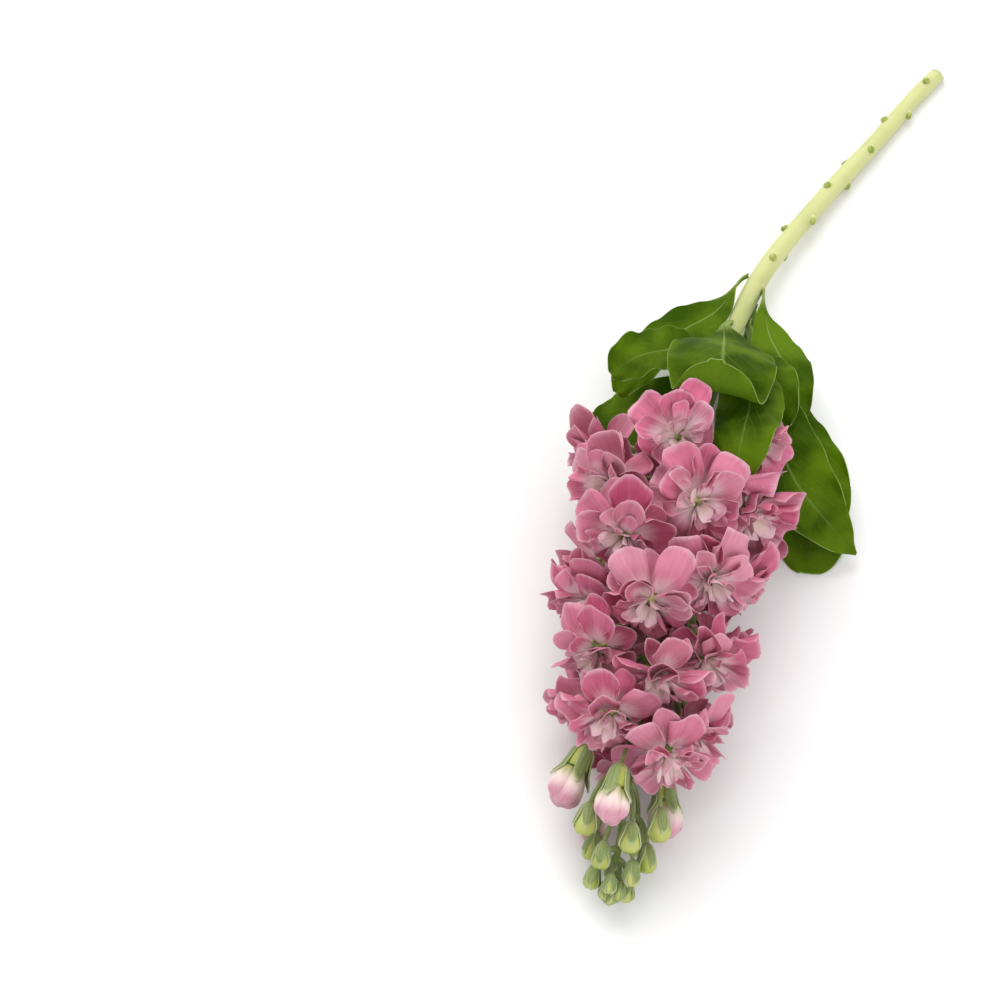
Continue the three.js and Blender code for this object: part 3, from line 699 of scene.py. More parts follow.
def petal_surface(place, petal):
    """A petal's middle surface, in rows from its foot to its end."""
    facing = place["facing"]
    across, other = rolled_axes(place)
    out = across * math.cos(petal["turn"]) + other * math.sin(petal["turn"])
    side = turned(np.cross(facing, out), out, math.radians(PETAL_TILT + petal["roll"]))
    axis = np.cross(out, side)
    length = petal["scale"] * petal["length"] * place["radius"]
    root = place["middle"] + facing * petal["height"] + out * petal["inset"]
    share, spot, rim = PETAL_MARKS.values()
    bend = np.radians(PETAL_SHOULDER) * spot
    widening = PETAL_BELLY - PETAL_NARROWING * share ** 2
    widening = widening * lerp(CLAW, 1, smoothstep(share, 0, CLAW_END))
    end = 1 - PETAL_ROUND + PETAL_ROUND * np.cos(bend)
    end = end - petal["notch"] * np.exp(-(spot / NOTCH_WIDTH) ** 2)
    end = end * (1 + petal["lopsided"] * spot + RAGGED * np.sin(RAGGED_WAVES * spot + petal["phase"]))
    reach = share * length * end
    fan = np.radians(petal["fan"]) * widening * np.sin(bend)
    run, aside = reach * np.cos(fan), reach * np.sin(fan)
    bowed = (petal["cup"] * aside ** 2 - petal["droop"] * run ** 2) / length
    raised = petal["curl"] * smoothstep(share, *CURL_RISE) ** CURL_POWER
    waves = np.sin(math.pi * petal["waves"] * spot + petal["phase"])
    raised += petal["ruffle"] * share ** RUFFLE_POWER * waves
    raised += SIDE_WAVE * spot ** SIDE_POWER * np.sin(SIDE_WAVES * share + petal["phase"])
    raised += petal["rim_curl"] * smoothstep(rim, *RIM_RISE) * share
    raised += petal["warp"] * spot * share ** 2
    ridges = np.abs(np.sin(math.pi / 2 * petal["creases"] * spot + petal["bent"]))
    raised += petal["crease"] * share ** CREASE_POWER * (ridges - CREASE_LEVEL)
    fold = petal["fold"] * smoothstep(share, *FOLD_RISE)
    height = bowed + raised * length + (np.sqrt(aside ** 2 + 1) - 1) * np.sin(fold)
    aside = aside * np.cos(fold)
    lift = petal["lift"]
    surface = root + out * (run * math.cos(lift))[..., None] + side * aside[..., None]
    return surface + axis * (run * math.sin(lift) + height)[..., None]


def stances(place):
    """How each petal of a floret stands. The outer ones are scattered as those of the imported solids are."""
    draw = drawer(SPIRAL_SEED + place["index"] + 1)
    fine = drawer(FINE_SEED + place["index"])
    petals = []
    for layer in LAYERS:
        for index in range(layer["petals"]):
            own, scatter = (draw, 1) if layer["solid"] else (fine, INNER_SCATTER)
            turn, lift, scale = (scatter * own(-1, 1) for _ in range(3))
            folds = FOLD if fine(0, 1) < layer["folded"] else FLAT
            petal = {**layer, "inset": PETAL_INSET}
            petal.update((value, fine(*limits)) for value, limits in DRAWN.items())
            for value, ease in INNER_EASE.items():
                petal[value] *= 1 - ease * layer["depth"]
            around_floret = 360 * (index + layer["start"]) / layer["petals"]
            petal["turn"] = math.radians(around_floret + turn * PETAL_SCATTER["turn"])
            petal["lift"] = math.radians(layer["lift"] + lift * PETAL_SCATTER["lift"])
            petal["scale"] = 1 + scale * PETAL_SCATTER["scale"]
            petal["cup"] += petal["slack"]
            petal["notch"] = max(petal["notch"], 0)
            petal["fold"] = lerp(*folds, petal["fold"])
            petal["roll"] *= 1 if layer["solid"] else INNER_ROLL
            petals.append(petal)
    return petals


def add_petals(piece, place, walls, leaf_trees):
    thickness = lerp(PETAL_MIDDLE, PETAL_EDGE, smoothstep(PETAL_MARKS["rim"], PETAL_THIN_FROM, 1))
    for petal in stances(place):
        surface = shortened(petal_surface(place, petal), place, walls, petal["beyond"])
        surface = squeezed(surface, place, walls, petal["beyond"])
        surface = clear_of_leaves(surface, place, leaf_trees)
        add_shell(piece, surface, thickness, PETAL, tone=petal["tone"], depth=petal["depth"], **PETAL_MARKS)


def make_floret(place, places, leaves, leaf_trees, materials):
    piece = Piece()
    add_petals(piece, place, cell_of(place, places, leaves), leaf_trees)
    profile = rounded(CORE, CORE_ROWS) * place["radius"] / FLORET_SIZE
    axis = line_curve(place["middle"], place["middle"] + place["facing"])
    add_round(piece, axis, profile, CORE_SIDES, THROAT, along=np.linspace(0, 1, CORE_ROWS))
    name = f"floret_{place['index'] + 1:02d}"
    piece.make(f"{name}_petals", materials, "petal", [name])


# Opening buds

OPENING_LOBES = 4
LOBE_SHIFT = 0.5  # how far a lobe's own middle lies from the bud's, and its radius, as shares of the bud's
LOBE_RADIUS = 0.54
LOBE_APART = 0.66  # how far the lobes' ends stay apart, as a share of the bud's radius
LOBE_WRAP = 140
LOBE_SWIRL = 0.5
LOBE_THICKNESS = 0.35
LOBE_ROWS = 18
LOBE_COLUMNS = 19
LOBE_TURN = 0.2
LOBE_LENGTH = [0.78, 1]
LOBE_SWELL = [0.84, 1]
LOBE_CROWN = 0.06
OUTLINE_STEPS = 24
HEART_ROWS = 12
HEART_SIDES = 16
HEART_LENGTH = 0.96
HEART_WIDTH = 0.66
HEART_LEAST = 0.3
HEART_TONE = 0.3
OPENING_DEPTH = 0.5


def opening_outline(share):
    """The distance past an opening bud's middle and its radius there, as shares of its radius."""
    steps = np.linspace(0, 1, OUTLINE_STEPS)
    return [np.interp(share, steps, values) for values in rounded(OPENING_PROFILE, OUTLINE_STEPS).T]


def make_opening_bud(place, materials):
    """Broad petals folded round each other, each of which bulges by itself."""
    piece = Piece()
    draw = drawer(OPENING_SEED + place["index"])
    radius, facing = place["radius"], place["facing"]
    side, other = rolled_axes(place)
    marks = blade_marks(np.linspace(0, 1, LOBE_ROWS), np.linspace(-1, 1, LOBE_COLUMNS))
    share = marks["along"]
    angle = np.radians(LOBE_WRAP) * marks["across"]
    for lobe in range(OPENING_LOBES):
        turn = 2 * math.pi * lobe / OPENING_LOBES + draw(-LOBE_TURN, LOBE_TURN)
        tone, long, swell = draw(0, 1), draw(*LOBE_LENGTH), draw(*LOBE_SWELL)
        at, wide = opening_outline(share)
        wide = wide * swell
        turn_there = turn + LOBE_SWIRL * share ** 2
        way = side * np.cos(turn_there)[..., None] + other * np.sin(turn_there)[..., None]
        beside = np.cross(facing, way)
        along_axis = CLEARANCE + radius * (at * long + LOBE_CROWN * np.cos(angle) * share)
        reach = radius * (LOBE_SHIFT * np.maximum(wide, LOBE_APART) + LOBE_RADIUS * wide * np.cos(angle))
        surface = place["middle"] + facing * along_axis[..., None] + way * reach[..., None]
        surface = surface + beside * (radius * wide * LOBE_RADIUS * np.sin(angle))[..., None]
        add_shell(piece, surface[:, ::-1], LOBE_THICKNESS, PETAL, tone=tone, depth=OPENING_DEPTH, **marks)
    shares = np.linspace(0, 1, HEART_ROWS)
    at, wide = opening_outline(shares)
    heart = line_curve(place["middle"], place["middle"] + facing)
    width = np.maximum(wide * HEART_WIDTH, HEART_LEAST)
    profile = np.stack([CLEARANCE + radius * at * HEART_LENGTH, radius * width], 1)
    add_round(piece, heart, profile, HEART_SIDES, PETAL, along=shares, tone=HEART_TONE, depth=OPENING_DEPTH)
    name = f"opening_bud_{place['index'] + 1}"
    piece.make(f"{name}_petals", materials, "bud", [name])


# The stem, stalks, calyces and closed buds

def stalk_curve(place):
    end = place["middle"] - place["facing"] * STALK_END[place["kind"]] * place["radius"]
    return bend_curve(place["root"], place["bend"], end)


def add_stem(piece):
    rows = round(stem_curve.length / STEM_STEP)
    distances = stem_curve.length * np.arange(rows + 1) / rows
    radii = along(STEM_GIRTH, distances)
    twist = distances[:, None] / RIDGE_TURN
    ridges = 1 + RIDGE_DEPTH * np.cos(STEM_RIDGES * (around(STEM_SIDES) + twist))
    short, long = (distances / length for length in KNOT_LENGTHS)
    knots = 1 + KNOT_DEPTH * np.sin(short) * np.sin(long + 1)
    profile = np.stack([distances, radii * knots], 1)
    marked = distances / MARKED_LENGTH
    add_round(piece, stem_curve, profile, STEM_SIDES, BARE, CUT_SLANT, ridges, along=marked)


def add_scars(piece):
    for index in range(SCARS):
        station = FIRST_SCAR + index * SCAR_PITCH
        middle, run, outward = stem_frame(station)
        out = outward(index * SCAR_TURN)
        radius = along(STEM_GIRTH, station)
        start = middle + out * SCAR_ROOT * radius
        end = middle + out * (radius + SCAR_HEIGHT) + run * SCAR_LENGTH
        end[2] = max(end[2], SCAR_LOWEST)
        axis = line_curve(start, end)
        profile = [[share * axis.length, size] for share, size in SCAR_PROFILE]
        add_round(piece, axis, profile, SCAR_SIDES, SCAR, along=[share for share, _ in SCAR_PROFILE])


def add_stalk(piece, place):
    curve = stalk_curve(place)
    mouth = CALYX_RADIUS.get(place["kind"])
    stalk = STALK_RADIUS if mouth else min(STALK_RADIUS, BUD_STALK * place["radius"])
    reach = curve.length - (STALK_IN_CALYX * CALYX_LENGTH if mouth else STALK_IN_BUD * place["radius"])
    distances = np.linspace(0, reach, STALK_ROWS)
    radii = stalk * (STALK_WAIST + STALK_FOOT * np.exp(-distances / STALK_FOOT_LENGTH))
    add_round(piece, curve, np.stack([distances, radii], 1), STALK_SIDES, STALK, along=distances / reach)


def add_sepals(piece, curve, stations, radii, spread, thickness, turn, tone):
    """Sepals round the end of a stalk: shells that follow its round outline and narrow to a point."""
    middles, side, other = ring_axes(curve, stations)
    grow = np.linspace(0, 1, len(stations))
    spots = np.linspace(-1, 1, SEPAL_COLUMNS)
    marks = blade_marks(grow, spots)
    outline = np.clip(1 - np.clip((grow - SEPAL_SHOULDER) / SEPAL_TAPER, 0, 1) ** SEPAL_POINT, SEPAL_LEAST, 1)
    for sepal in range(SEPALS):
        angle = turn + 2 * math.pi * sepal / SEPALS + np.radians(spread) * spots[None] * outline[:, None]
        wide = radii[:, None] * (1 + SEPAL_BULGE * (1 - spots[None] ** 2) - SEPAL_BULGE * (sepal % 2))
        out = side[:, None] * np.cos(angle)[..., None] + other[:, None] * np.sin(angle)[..., None]
        surface = middles[:, None] + out * wide[..., None]
        add_shell(piece, surface[:, ::-1], thickness, SEPAL, tone=tone, **marks)


def add_calyx(piece, place, draw):
    curve = stalk_curve(place)
    mouth = CALYX_RADIUS[place["kind"]] * place["radius"]
    outline = [[curve.length + at * CALYX_LENGTH, max(STALK_RADIUS, wide * mouth)]
               for at, wide in CALYX_PROFILE]
    outline = rounded(outline, CALYX_ROWS)
    inner, kind, spread = outline[:CALYX_BODY_ROWS] * [1, CALYX_BODY], STALK, SEPAL_SPREAD
    if place["kind"] == "opening_bud":
        inner, kind, spread = outline * [1, OPEN_CALYX_BODY], BUD, OPEN_SEPAL_SPREAD
        at, wide = opening_outline(np.linspace(*SEPAL_REACH, CLASP_ROWS))
        foot = curve.length + STALK_END["opening_bud"] * place["radius"] + CLEARANCE
        clasp = np.stack([foot + at * place["radius"], wide * place["radius"] + SEPAL_SPARE], 1)
        outline = np.concatenate([outline[:CALYX_FOOT_ROWS], clasp])
    add_sepals(piece, curve, *outline.T, spread, SEPAL_THICKNESS, draw(0, 6), draw(0, 1))
    add_round(piece, curve, inner, CALYX_SIDES, kind, along=np.linspace(CALYX_BODY_MARK, 1, len(inner)))


def add_closed_bud(piece, place, draw):
    curve = stalk_curve(place)
    radius = place["radius"]
    ripe = 0
    if place["kind"] == "green_bud":
        ripe = min(max(RIPE_SHIFT - place["share"] + draw(-RIPE_SCATTER, RIPE_SCATTER), 0), 1)
    fine = rounded([[curve.length + at * radius, wide * radius] for at, wide in BUD_PROFILE], BUD_ROWS)
    rows = np.linspace(0, 1, BUD_ROWS)
    lobes = 1 + BUD_LOBES * np.cos(SEPALS * around(BUD_ROWS))[None] * rows[:, None]
    add_round(piece, curve, fine * [1, BUD_BODY], BUD_ROWS, BUD, 0, lobes, along=rows, tone=draw(0, 1))
    shares = np.linspace(0, lerp(1, RIPE_HEIGHT, ripe), SEPAL_ROWS)
    stations = lerp(fine[0, 0], fine[-1, 0] + TIP_SPARE * radius, shares)
    closing = smoothstep(np.linspace(0, 1, SEPAL_ROWS), *CLOSING_RISE) * (1 - ripe)
    radii = np.interp(stations, *fine.T) * lerp(1, YOUNG_TIP, closing)
    spread = lerp(SEPAL_SPREAD, RIPE_SPREAD, ripe)
    thickness = np.dot(BUD_SEPAL_THICKNESS, [1, radius])
    add_sepals(piece, curve, stations, radii, spread, thickness, draw(0, 6), draw(0, 1))


def make_stem(places, materials):
    """The stem with its scars, stalks, calyces and closed buds, which all grow from it."""
    bare, green = Piece(), Piece()
    add_stem(bare)
    add_scars(bare)
    draw = drawer(BUD_SEED)
    for place in places:
        add_stalk(green, place)
        if place["kind"] in CALYX_RADIUS:
            add_calyx(green, place, draw)
        else:
            add_closed_bud(green, place, draw)
    bare.make("stem_and_scars", materials, "stem", ["stem"])
    green.make("stalks_and_buds", materials, "stem", ["stem"])


# Leaves

def leaf_surface(leaf, shares, spots, detail=0):
    """A leaf's middle surface, in rows from the stem to the tip."""
    station, turn = leaf["root"]
    middle, run, outward = stem_frame(station)
    out = outward(turn)
    start = middle + out * (along(STEM_GIRTH, station) + CLEARANCE + LEAF_THICKNESS / 2)
    rib = smooth_curve([start, start + out * LEAF_RISE + run * LEAF_FOOT, *np.array(leaf["rib"], float)])
    across = unit(np.cross(rib.at(1) - rib.at(0), UP))
    up_out = out if out[2] >= 0 else -out
    reached = LEAF_END * (1 - (1 - shares) ** LEAF_ROW_EASE)
    middles, runs = rib.at(reached), rib.run(reached)
    rows = []
    for share, centre, way in zip(reached, middles, runs):
        face = unit(np.cross(across, way))
        face = turned(face, way, math.radians(leaf.get("twist", 0) * share))
        face = lerp(up_out, face, smoothstep(share, 0, LEAF_TURNED))
        face = unit(face - way * np.dot(face, way))
        side = np.cross(way, face)
        half = leaf_half_width(share, leaf)
        bend = leaf["cup"] * spots
        phase = 2 * math.pi * WAVES * share + WAVE_SHIFT * spots
        wave = leaf["wave"] * spots ** 2 * np.sin(phase) * share
        if detail:
            wave = wave - RIB_GROOVE * np.exp(-(spots / RIB_WIDTH) ** 2) * (1 - share)
            ripple = spots ** 4 * np.sin(RIPPLE_WAVES * phase + RIPPLE_SHIFT * share)
            wave = wave + detail * ripple * smoothstep(share, *RIPPLE_RISE)
        rows.append(centre + side * (half * np.sin(bend) / leaf["cup"])[:, None]
                    + face * (half * (1 - np.cos(bend)) / leaf["cup"] + wave)[:, None])
    return np.array(rows)


def leaf_half_width(share, leaf):
    if share < LEAF_WIDEST:
        return lerp(LEAF_NECK, leaf["width"], (1 - math.cos(math.pi * share / LEAF_WIDEST)) / 2)
    past = (share - LEAF_WIDEST) / (1 - LEAF_WIDEST)
    return leaf["width"] * (1 - past * past) ** leaf.get("point", LEAF_POINT)


def flat_cross(first, second):
    return first[:, 0] * second[:, 1] - second[:, 0] * first[:, 1]


def height_over(surface, x, y):
    """The height of a surface above a point of the ground, or minus infinity where it isn't above it."""
    corners = surface[:-1, :-1], surface[:-1, 1:], surface[1:, 1:], surface[1:, :-1]
    a, b, c, d = (corner.reshape(-1, 3) for corner in corners)
    one, two, three = (np.concatenate(pair) for pair in [(a, d), (d, c), (b, b)])
    to_two, to_three, to_spot = two - one, three - one, [x, y, 0] - one
    area = flat_cross(to_two, to_three)
    second = flat_cross(to_spot, to_three) / area
    third = flat_cross(to_two, to_spot) / area
    height = one[:, 2] + second * to_two[:, 2] + third * to_three[:, 2]
    inside = (second >= 0) & (third >= 0) & (second + third <= 1)
    return np.where(inside, height, -np.inf).max()


def pile_of_leaves():
    """The leaves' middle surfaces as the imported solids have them, and how far the pile lifts each point."""
    shares, spots = np.arange(LEAF_ROWS + 1) / LEAF_ROWS, np.linspace(-1, 1, LEAF_COLUMNS + 1)
    pile, lifts = [], []
    for leaf in LEAVES:
        surface = leaf_surface(leaf, shares, spots)
        flat = surface[..., 2].copy()
        for row in range(LEAF_FREE_ROWS, LEAF_ROWS + 1):
            for column in range(LEAF_COLUMNS + 1):
                x, y, z = surface[row, column]
                below = [height_over(other, x, y) + LAYER_GAP for other in pile]
                surface[row, column, 2] = max([z, LEAF_THICKNESS / 2, *below])
        pile.append(surface)
        lifts.append(surface[..., 2] - flat)
    return pile, lifts


def make_leaf(leaf, lift, material):
    shares = np.linspace(0, 1, FINE_LEAF_ROWS)
    columns = np.linspace(-1, 1, FINE_LEAF_COLUMNS)
    spots = np.sin(columns * math.pi / 2)
    surface = leaf_surface(leaf, shares, spots, RIPPLE)
    lifted = smooth_at(smooth_at(lift, shares).T, np.linspace(0, 1, FINE_LEAF_COLUMNS)).T
    for row in range(FINE_LEAF_ROWS):
        surface[row, :, 2] += np.interp(spots, columns, lifted[row])
    surface[..., 2] = np.maximum(surface[..., 2], LEAF_THICKNESS / 2)
    marks = blade_marks(shares, spots)
    thickness = lerp(LEAF_THICKNESS, LEAF_EDGE, smoothstep(marks["rim"], *RIM_RISE))
    piece = Piece()
    add_shell(piece, surface[:, ::-1], thickness, **marks)
    piece.make(f"{leaf['name']}_blade", [material], "leaf", [leaf["name"]])
    faces = grid_faces(FINE_LEAF_ROWS, FINE_LEAF_COLUMNS)
    return BVHTree.FromPolygons(surface.reshape(-1, 3).tolist(), faces)


# Materials

class Graph:
    """A material's node tree, with short names for the nodes that it is built from."""

    def __init__(self, name):
        self.material = bpy.data.materials.new(name)
        self.material.use_nodes = True
        self.tree = self.material.node_tree
        self.tree.nodes.clear()

    def node(self, kind, inputs=(), output=0, **settings):
        node = self.tree.nodes.new(kind)
        for setting, value in settings.items():
            setattr(node, setting, value)
        for socket, value in dict(inputs).items():
            if isinstance(value, bpy.types.NodeSocket):
                self.tree.links.new(value, node.inputs[socket])
            else:
                node.inputs[socket].default_value = value
        return node.outputs[output]

    def mark(self, name):
        return self.node("ShaderNodeAttribute", output="Fac", attribute_name=name)

    def math(self, operation, first, second=0.0):
        return self.node("ShaderNodeMath", {0: first, 1: second}, operation=operation)

    def total(self, start, *parts):
        """A start value, plus each other value times its own share."""
        for value, share in parts:
            start = self.node("ShaderNodeMath", {0: value, 1: share, 2: start}, operation="MULTIPLY_ADD")
        return start

    def mix(self, share, first, second):
        return self.node("ShaderNodeMix", {0: share, 6: first, 7: second}, output=2, data_type="RGBA")

    def rise(self, value, low, high, last=1.0, first=0.0):
        """first where the value is below low, last where it is above high, and smooth between them."""
        return self.node("ShaderNodeMapRange", {0: value, 1: low, 2: high, 3: first, 4: last},
                         interpolation_type="SMOOTHSTEP")

    def noise(self, scale, detail=3.0, vector=None):
        if vector is None:
            vector = self.node("ShaderNodeTexCoord", output="Object")
        return self.node("ShaderNodeTexNoise", {"Vector": vector, "Scale": scale, "Detail": detail})

    def streaks(self, along_scale, across_scale):
        """Noise drawn out along a petal or leaf, and other noise for each tone."""
        scales = {"along": along_scale, "across": across_scale, "tone": TONE_SCALE}
        place = {at: self.math("MULTIPLY", self.mark(name), scales[name]) for at, name in enumerate(scales)}
        return self.noise(1.0, 4.0, self.node("ShaderNodeCombineXYZ", place))

    def skin(self, colour, relief, strength, distance, share=0.0, through=None, **finish):
        """The finished material: its colour, its relief, and the share of its light that goes through it."""
        normal = self.node("ShaderNodeBump", {"Height": relief, "Strength": strength, "Distance": distance})
        values = {SOCKETS[name]: value for name, value in finish.items()}
        shader = self.node("ShaderNodeBsdfPrincipled", {"Base Color": colour, "Normal": normal, **values})
        if share:
            through = colour if through is None else through
            behind = self.node("ShaderNodeBsdfTranslucent", {"Color": through, "Normal": normal})
            shader = self.node("ShaderNodeMixShader", {0: share, 1: shader, 2: behind})
        return self.finish(shader)

    def finish(self, shader):
        output = self.tree.nodes.new("ShaderNodeOutputMaterial")
        self.tree.links.new(shader, output.inputs["Surface"])
        return self.material


SOCKETS = {"rough": "Roughness", "sheen": "Sheen Weight", "gloss": "Specular IOR Level"}
TONE_SCALE = 17.0

# Colours
PETAL_PINK = (0.69, 0.155, 0.285, 1)
PETAL_DEEP = (0.49, 0.068, 0.165, 1)
# A petal's underside: a plainer pink, also darkened as painted shade
PETAL_UNDERSIDE_AND_SHADE = (0.60, 0.15, 0.255, 1)
PETAL_PALE = (0.96, 0.72, 0.78, 1)
PETAL_CREAM = (1.0, 0.83, 0.78, 1)
PETAL_THROUGH = (0.90, 0.23, 0.39, 1)
OPENING_PINK = (0.72, 0.30, 0.41, 1)
OPENING_PALE = (0.80, 0.46, 0.53, 1)
THROAT_OLIVE = (0.10, 0.14, 0.02, 1)
LIME = (0.56, 0.59, 0.19, 1)
LIME_DEEP = (0.44, 0.50, 0.08, 1)
STEM_PALE = (0.60, 0.62, 0.27, 1)
STEM_GREEN = (0.17, 0.24, 0.05, 1)
SCAR_GREEN = (0.20, 0.26, 0.03, 1)
SCAR_LIGHT = (0.38, 0.43, 0.10, 1)
STALK_GREEN = (0.15, 0.20, 0.045, 1)
STALK_LIGHT = (0.27, 0.33, 0.10, 1)
SEPAL_GREEN = (0.17, 0.23, 0.06, 1)
SEPAL_LIGHT = (0.29, 0.36, 0.12, 1)
SEPAL_FELT = (0.48, 0.52, 0.36, 1)
SEPAL_EDGE = (0.50, 0.55, 0.28, 1)
LEAF_DARK = (0.030, 0.062, 0.001, 1)
# The light green of a leaf's mottling, brightened as painted sheen
LEAF_LIGHT_AND_SHEEN = (0.12, 0.20, 0.006, 1)
LEAF_UNDER = (0.17, 0.30, 0.02, 1)
LEAF_VEIN = (0.20, 0.31, 0.04, 1)
LEAF_RIB = (0.34, 0.45, 0.14, 1)
LEAF_RIM = (0.45, 0.56, 0.2, 1)
LEAF_STALK = (0.36, 0.46, 0.14, 1)
LEAF_THROUGH = (0.38, 0.62, 0.01, 1)


def petal_material():
    graph = Graph("petal_skin")
    streaks, veins = graph.streaks(1.3, 9.0), graph.streaks(2.6, 24.0)
    cloud = graph.noise(110.0)
    depth = graph.mark("depth")
    # A mottled pink, of its own tone in each petal, and plainer and darker underneath: partly the underside's
    # own colour, partly painted shade
    flush = graph.total(0.0, (streaks, 0.5), (cloud, 0.5))
    pink = graph.mix(graph.rise(flush, 0.38, 0.66, 0.8), PETAL_PINK, PETAL_DEEP)
    pink = graph.mix(graph.total(0.0, (graph.mark("tone"), 0.3), (depth, 0.15)), pink, PETAL_PALE)
    pink = graph.mix(graph.total(0.0, (graph.mark("under"), 0.6)), pink, PETAL_UNDERSIDE_AND_SHADE)
    # Pale and then cream towards its foot, further up in the inner petals
    reach = graph.total(-0.11, (graph.mark("along"), 1.0), (depth, -0.6), (streaks, 0.22))
    pale = graph.mix(graph.rise(reach, 0.2, 0.62), PETAL_PALE, pink)
    colour = graph.mix(graph.rise(reach, 0.0, 0.34), PETAL_CREAM, pale)
    # A thin pale margin, partly a painted highlight where light catches the edge, and fine darker veins
    edge = graph.total(0.0, (graph.mark("rim"), 1.0), (cloud, 0.2))
    colour = graph.mix(graph.rise(edge, 0.99, 1.14, 0.5), colour, PETAL_PALE)
    colour = graph.mix(graph.rise(veins, 0.5, 0.75, 0.22), colour, PETAL_DEEP)
    relief = graph.total(0.0, (streaks, 0.5), (veins, 0.5))
    through = graph.mix(0.5, colour, PETAL_THROUGH)
    return graph.skin(colour, relief, 0.6, 0.0006, 0.16, through, rough=0.5, sheen=0.04, gloss=0.22)


def throat_material():
    graph = Graph("floret_throat")
    spots = graph.noise(400.0, 2.0)
    colour = graph.mix(graph.rise(spots, 0.4, 0.7), THROAT_OLIVE, LIME)
    colour = graph.mix(graph.rise(graph.mark("along"), 0.1, 0.35), STALK_GREEN, colour)
    return graph.skin(colour, spots, 0.4, 0.0004, rough=0.6)


def opening_material():
    graph = Graph("opening_petal_skin")
    streaks = graph.streaks(1.5, 6.0)
    pink = graph.mix(graph.rise(streaks, 0.35, 0.7), OPENING_PINK, OPENING_PALE)
    reach = graph.total(-0.15, (graph.mark("along"), 1.0), (streaks, 0.3))
    colour = graph.mix(graph.rise(reach, 0.25, 0.6), PETAL_CREAM, pink)
    colour = graph.mix(graph.rise(reach, 0.0, 0.32), LIME, colour)
    colour = graph.mix(graph.rise(graph.mark("rim"), 0.9, 1.0, 0.5), colour, PETAL_PALE)
    return graph.skin(colour, streaks, 0.5, 0.0005, 0.25, rough=0.5, sheen=0.15, gloss=0.35)


def stem_material():
    graph = Graph("stem_skin")
    blotches, fibres = graph.noise(60.0, 4.0), graph.noise(600.0, 2.0)
    colour = graph.mix(graph.rise(graph.mark("along"), 0.3, 0.6), STEM_PALE, STEM_GREEN)
    colour = graph.mix(graph.rise(blotches, 0.45, 0.75, 0.2), colour, STEM_GREEN)
    relief = graph.total(blotches, (fibres, 0.3))
    return graph.skin(colour, relief, 0.45, 0.0006, 0.08, rough=0.5, gloss=0.25)


def scar_material():
    graph = Graph("leaf_scar_skin")
    spots = graph.noise(350.0)
    green = graph.mix(graph.rise(spots, 0.35, 0.65), SCAR_GREEN, SCAR_LIGHT)
    colour = graph.mix(graph.rise(graph.mark("along"), 0.3, 0.7), STEM_PALE, green)
    return graph.skin(colour, spots, 0.5, 0.0005, rough=0.6)


def stalk_material():
    graph = Graph("stalk_skin")
    felt = graph.noise(900.0, 2.0)
    colour = graph.mix(graph.rise(graph.noise(120.0), 0.35, 0.7), STALK_GREEN, STALK_LIGHT)
    return graph.skin(colour, felt, 0.5, 0.0004, 0.06, rough=0.55, sheen=0.3)


def sepal_material():
    graph = Graph("sepal_skin")
    felt = graph.noise(1100.0, 2.0)
    colour = graph.mix(graph.rise(graph.streaks(2.0, 5.0), 0.3, 0.75), SEPAL_GREEN, SEPAL_LIGHT)
    colour = graph.mix(graph.rise(felt, 0.5, 0.8, 0.2), colour, SEPAL_FELT)
    colour = graph.mix(graph.rise(graph.mark("rim"), 0.8, 1.0), colour, SEPAL_EDGE)
    return graph.skin(colour, felt, 0.6, 0.0005, 0.08, rough=0.7, sheen=0.2)


def bud_material():
    graph = Graph("closed_bud_skin")
    streaks = graph.streaks(1.5, 8.0)
    colour = graph.mix(graph.rise(streaks, 0.3, 0.7), LIME, LIME_DEEP)
    return graph.skin(colour, streaks, 0.5, 0.0005, 0.15, rough=0.45)


def leaf_material():
    graph = Graph("leaf_skin")
    blotches, cells = graph.noise(45.0, 4.0), graph.noise(500.0, 2.0)
    along_leaf, around_rib = graph.mark("along"), graph.math("ABSOLUTE", graph.mark("across"))
    # Side veins slope forward from the midrib and fade towards the margin
    slope = graph.total(0.0, (along_leaf, 11.0), (around_rib, -3.2), (blotches, 0.7))
    ridge = graph.math("ABSOLUTE", graph.math("SUBTRACT", graph.math("FRACT", slope), 0.5))
    fade = graph.math("SUBTRACT", 0.9, around_rib)
    vein = graph.math("MULTIPLY", graph.rise(ridge, 0.0, 0.07, 0.0, 1.0), fade)
    # Mottled from dark to light green; the light patches are partly painted sheen
    colour = graph.mix(graph.rise(blotches, 0.34, 0.66), LEAF_DARK, LEAF_LIGHT_AND_SHEEN)
    colour = graph.mix(graph.total(0.0, (graph.mark("under"), 0.85)), colour, LEAF_UNDER)
    colour = graph.mix(graph.total(0.0, (vein, 0.5)), colour, LEAF_VEIN)
    # The midrib fades towards the tip, and the foot is pale
    rib = graph.math("MULTIPLY", graph.rise(around_rib, 0.01, 0.05, 0.0, 1.0),
                     graph.math("SUBTRACT", 0.9, along_leaf))
    colour = graph.mix(rib, colour, LEAF_RIB)
    colour = graph.mix(graph.rise(along_leaf, 0.02, 0.13, 0.0, 0.8), colour, LEAF_STALK)
    colour = graph.mix(graph.rise(graph.mark("rim"), 0.985, 1.0, 0.75), colour, LEAF_RIM)
    relief = graph.total(0.0, (cells, 0.25), (vein, -0.6))
    return graph.skin(colour, relief, 0.5, 0.0008, 0.3, LEAF_THROUGH, rough=0.55, gloss=0.04)


# The room

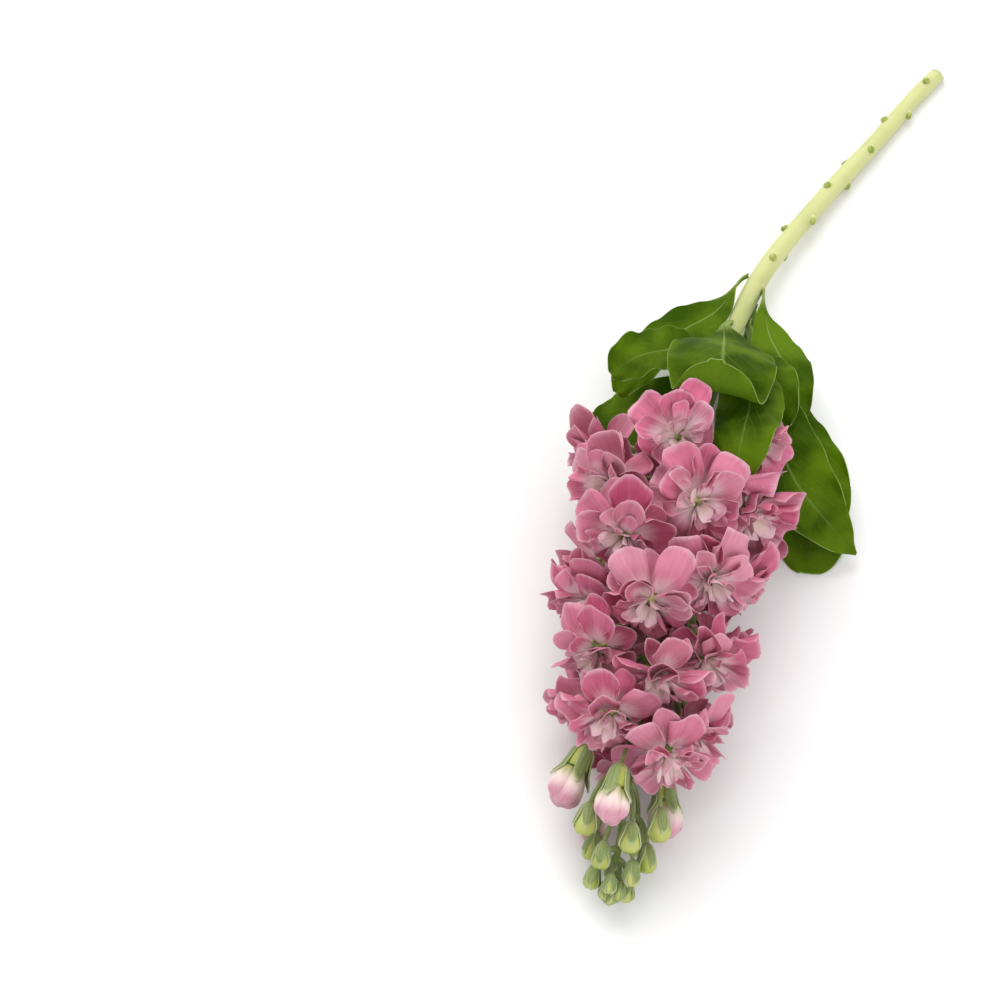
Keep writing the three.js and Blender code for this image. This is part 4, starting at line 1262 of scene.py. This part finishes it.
def make_floor():
    mesh = bpy.data.meshes.new("floor")
    corners = [(-1, -1), (1, -1), (1, 1), (-1, 1)]
    mesh.from_pydata([(x * FLOOR_HALF, y * FLOOR_HALF, 0) for x, y in corners], [], [(0, 1, 2, 3)])
    floor = bpy.data.objects.new("floor", mesh)
    graph = Graph("floor_paper")
    mesh.materials.append(graph.finish(graph.node("ShaderNodeBsdfPrincipled", {
        "Base Color": FLOOR_COLOUR, "Roughness": 0.9, "Specular IOR Level": 0.1})))
    bpy.context.scene.collection.objects.link(floor)


def aimed(name, data, place, aim=(0, 0, 0)):
    """A light or a camera at a place, turned to what it aims at."""
    thing = bpy.data.objects.new(name, data)
    thing.location = place
    thing.rotation_euler = (Vector(aim) - Vector(place)).to_track_quat("-Z", "Y").to_euler()
    bpy.context.scene.collection.objects.link(thing)
    return thing


def make_room():
    scene = bpy.context.scene
    make_floor()
    for light in LIGHTS:
        data = bpy.data.lights.new(light["name"], "AREA")
        data.size, data.energy, data.color = light["size"], light["power"], light["colour"]
        aimed(light["name"], data, light["place"])
    scene.world = bpy.data.worlds.new("room")
    scene.world.use_nodes = True
    sky = scene.world.node_tree.nodes["Background"].inputs
    sky["Color"].default_value = SKY_COLOUR
    sky["Strength"].default_value = SKY_STRENGTH
    scene.view_settings.view_transform = "Standard"
    data = bpy.data.cameras.new("photograph")
    data.lens, data.sensor_width = CAMERA_LENS, CAMERA_SENSOR
    place, aim = ((np.array(point) - MIDDLE) * MILLIMETRE for point in (CAMERA_PLACE, CAMERA_AIM))
    scene.camera = aimed("photograph", data, place, aim)


def main():
    places = spiral_places()
    leaves, lifts = pile_of_leaves()
    make_stem(places, [stem_material(), scar_material(), stalk_material(), sepal_material(), bud_material()])
    skin = leaf_material()
    leaf_trees = [make_leaf(leaf, lift, skin) for leaf, lift in zip(LEAVES, lifts)]
    petals = [petal_material(), throat_material()]
    opening = [opening_material()]
    for place in places:
        if place["kind"] == "floret":
            make_floret(place, places, leaves, leaf_trees, petals)
        elif place["kind"] == "opening_bud":
            make_opening_bud(place, opening)
    make_room()


main()
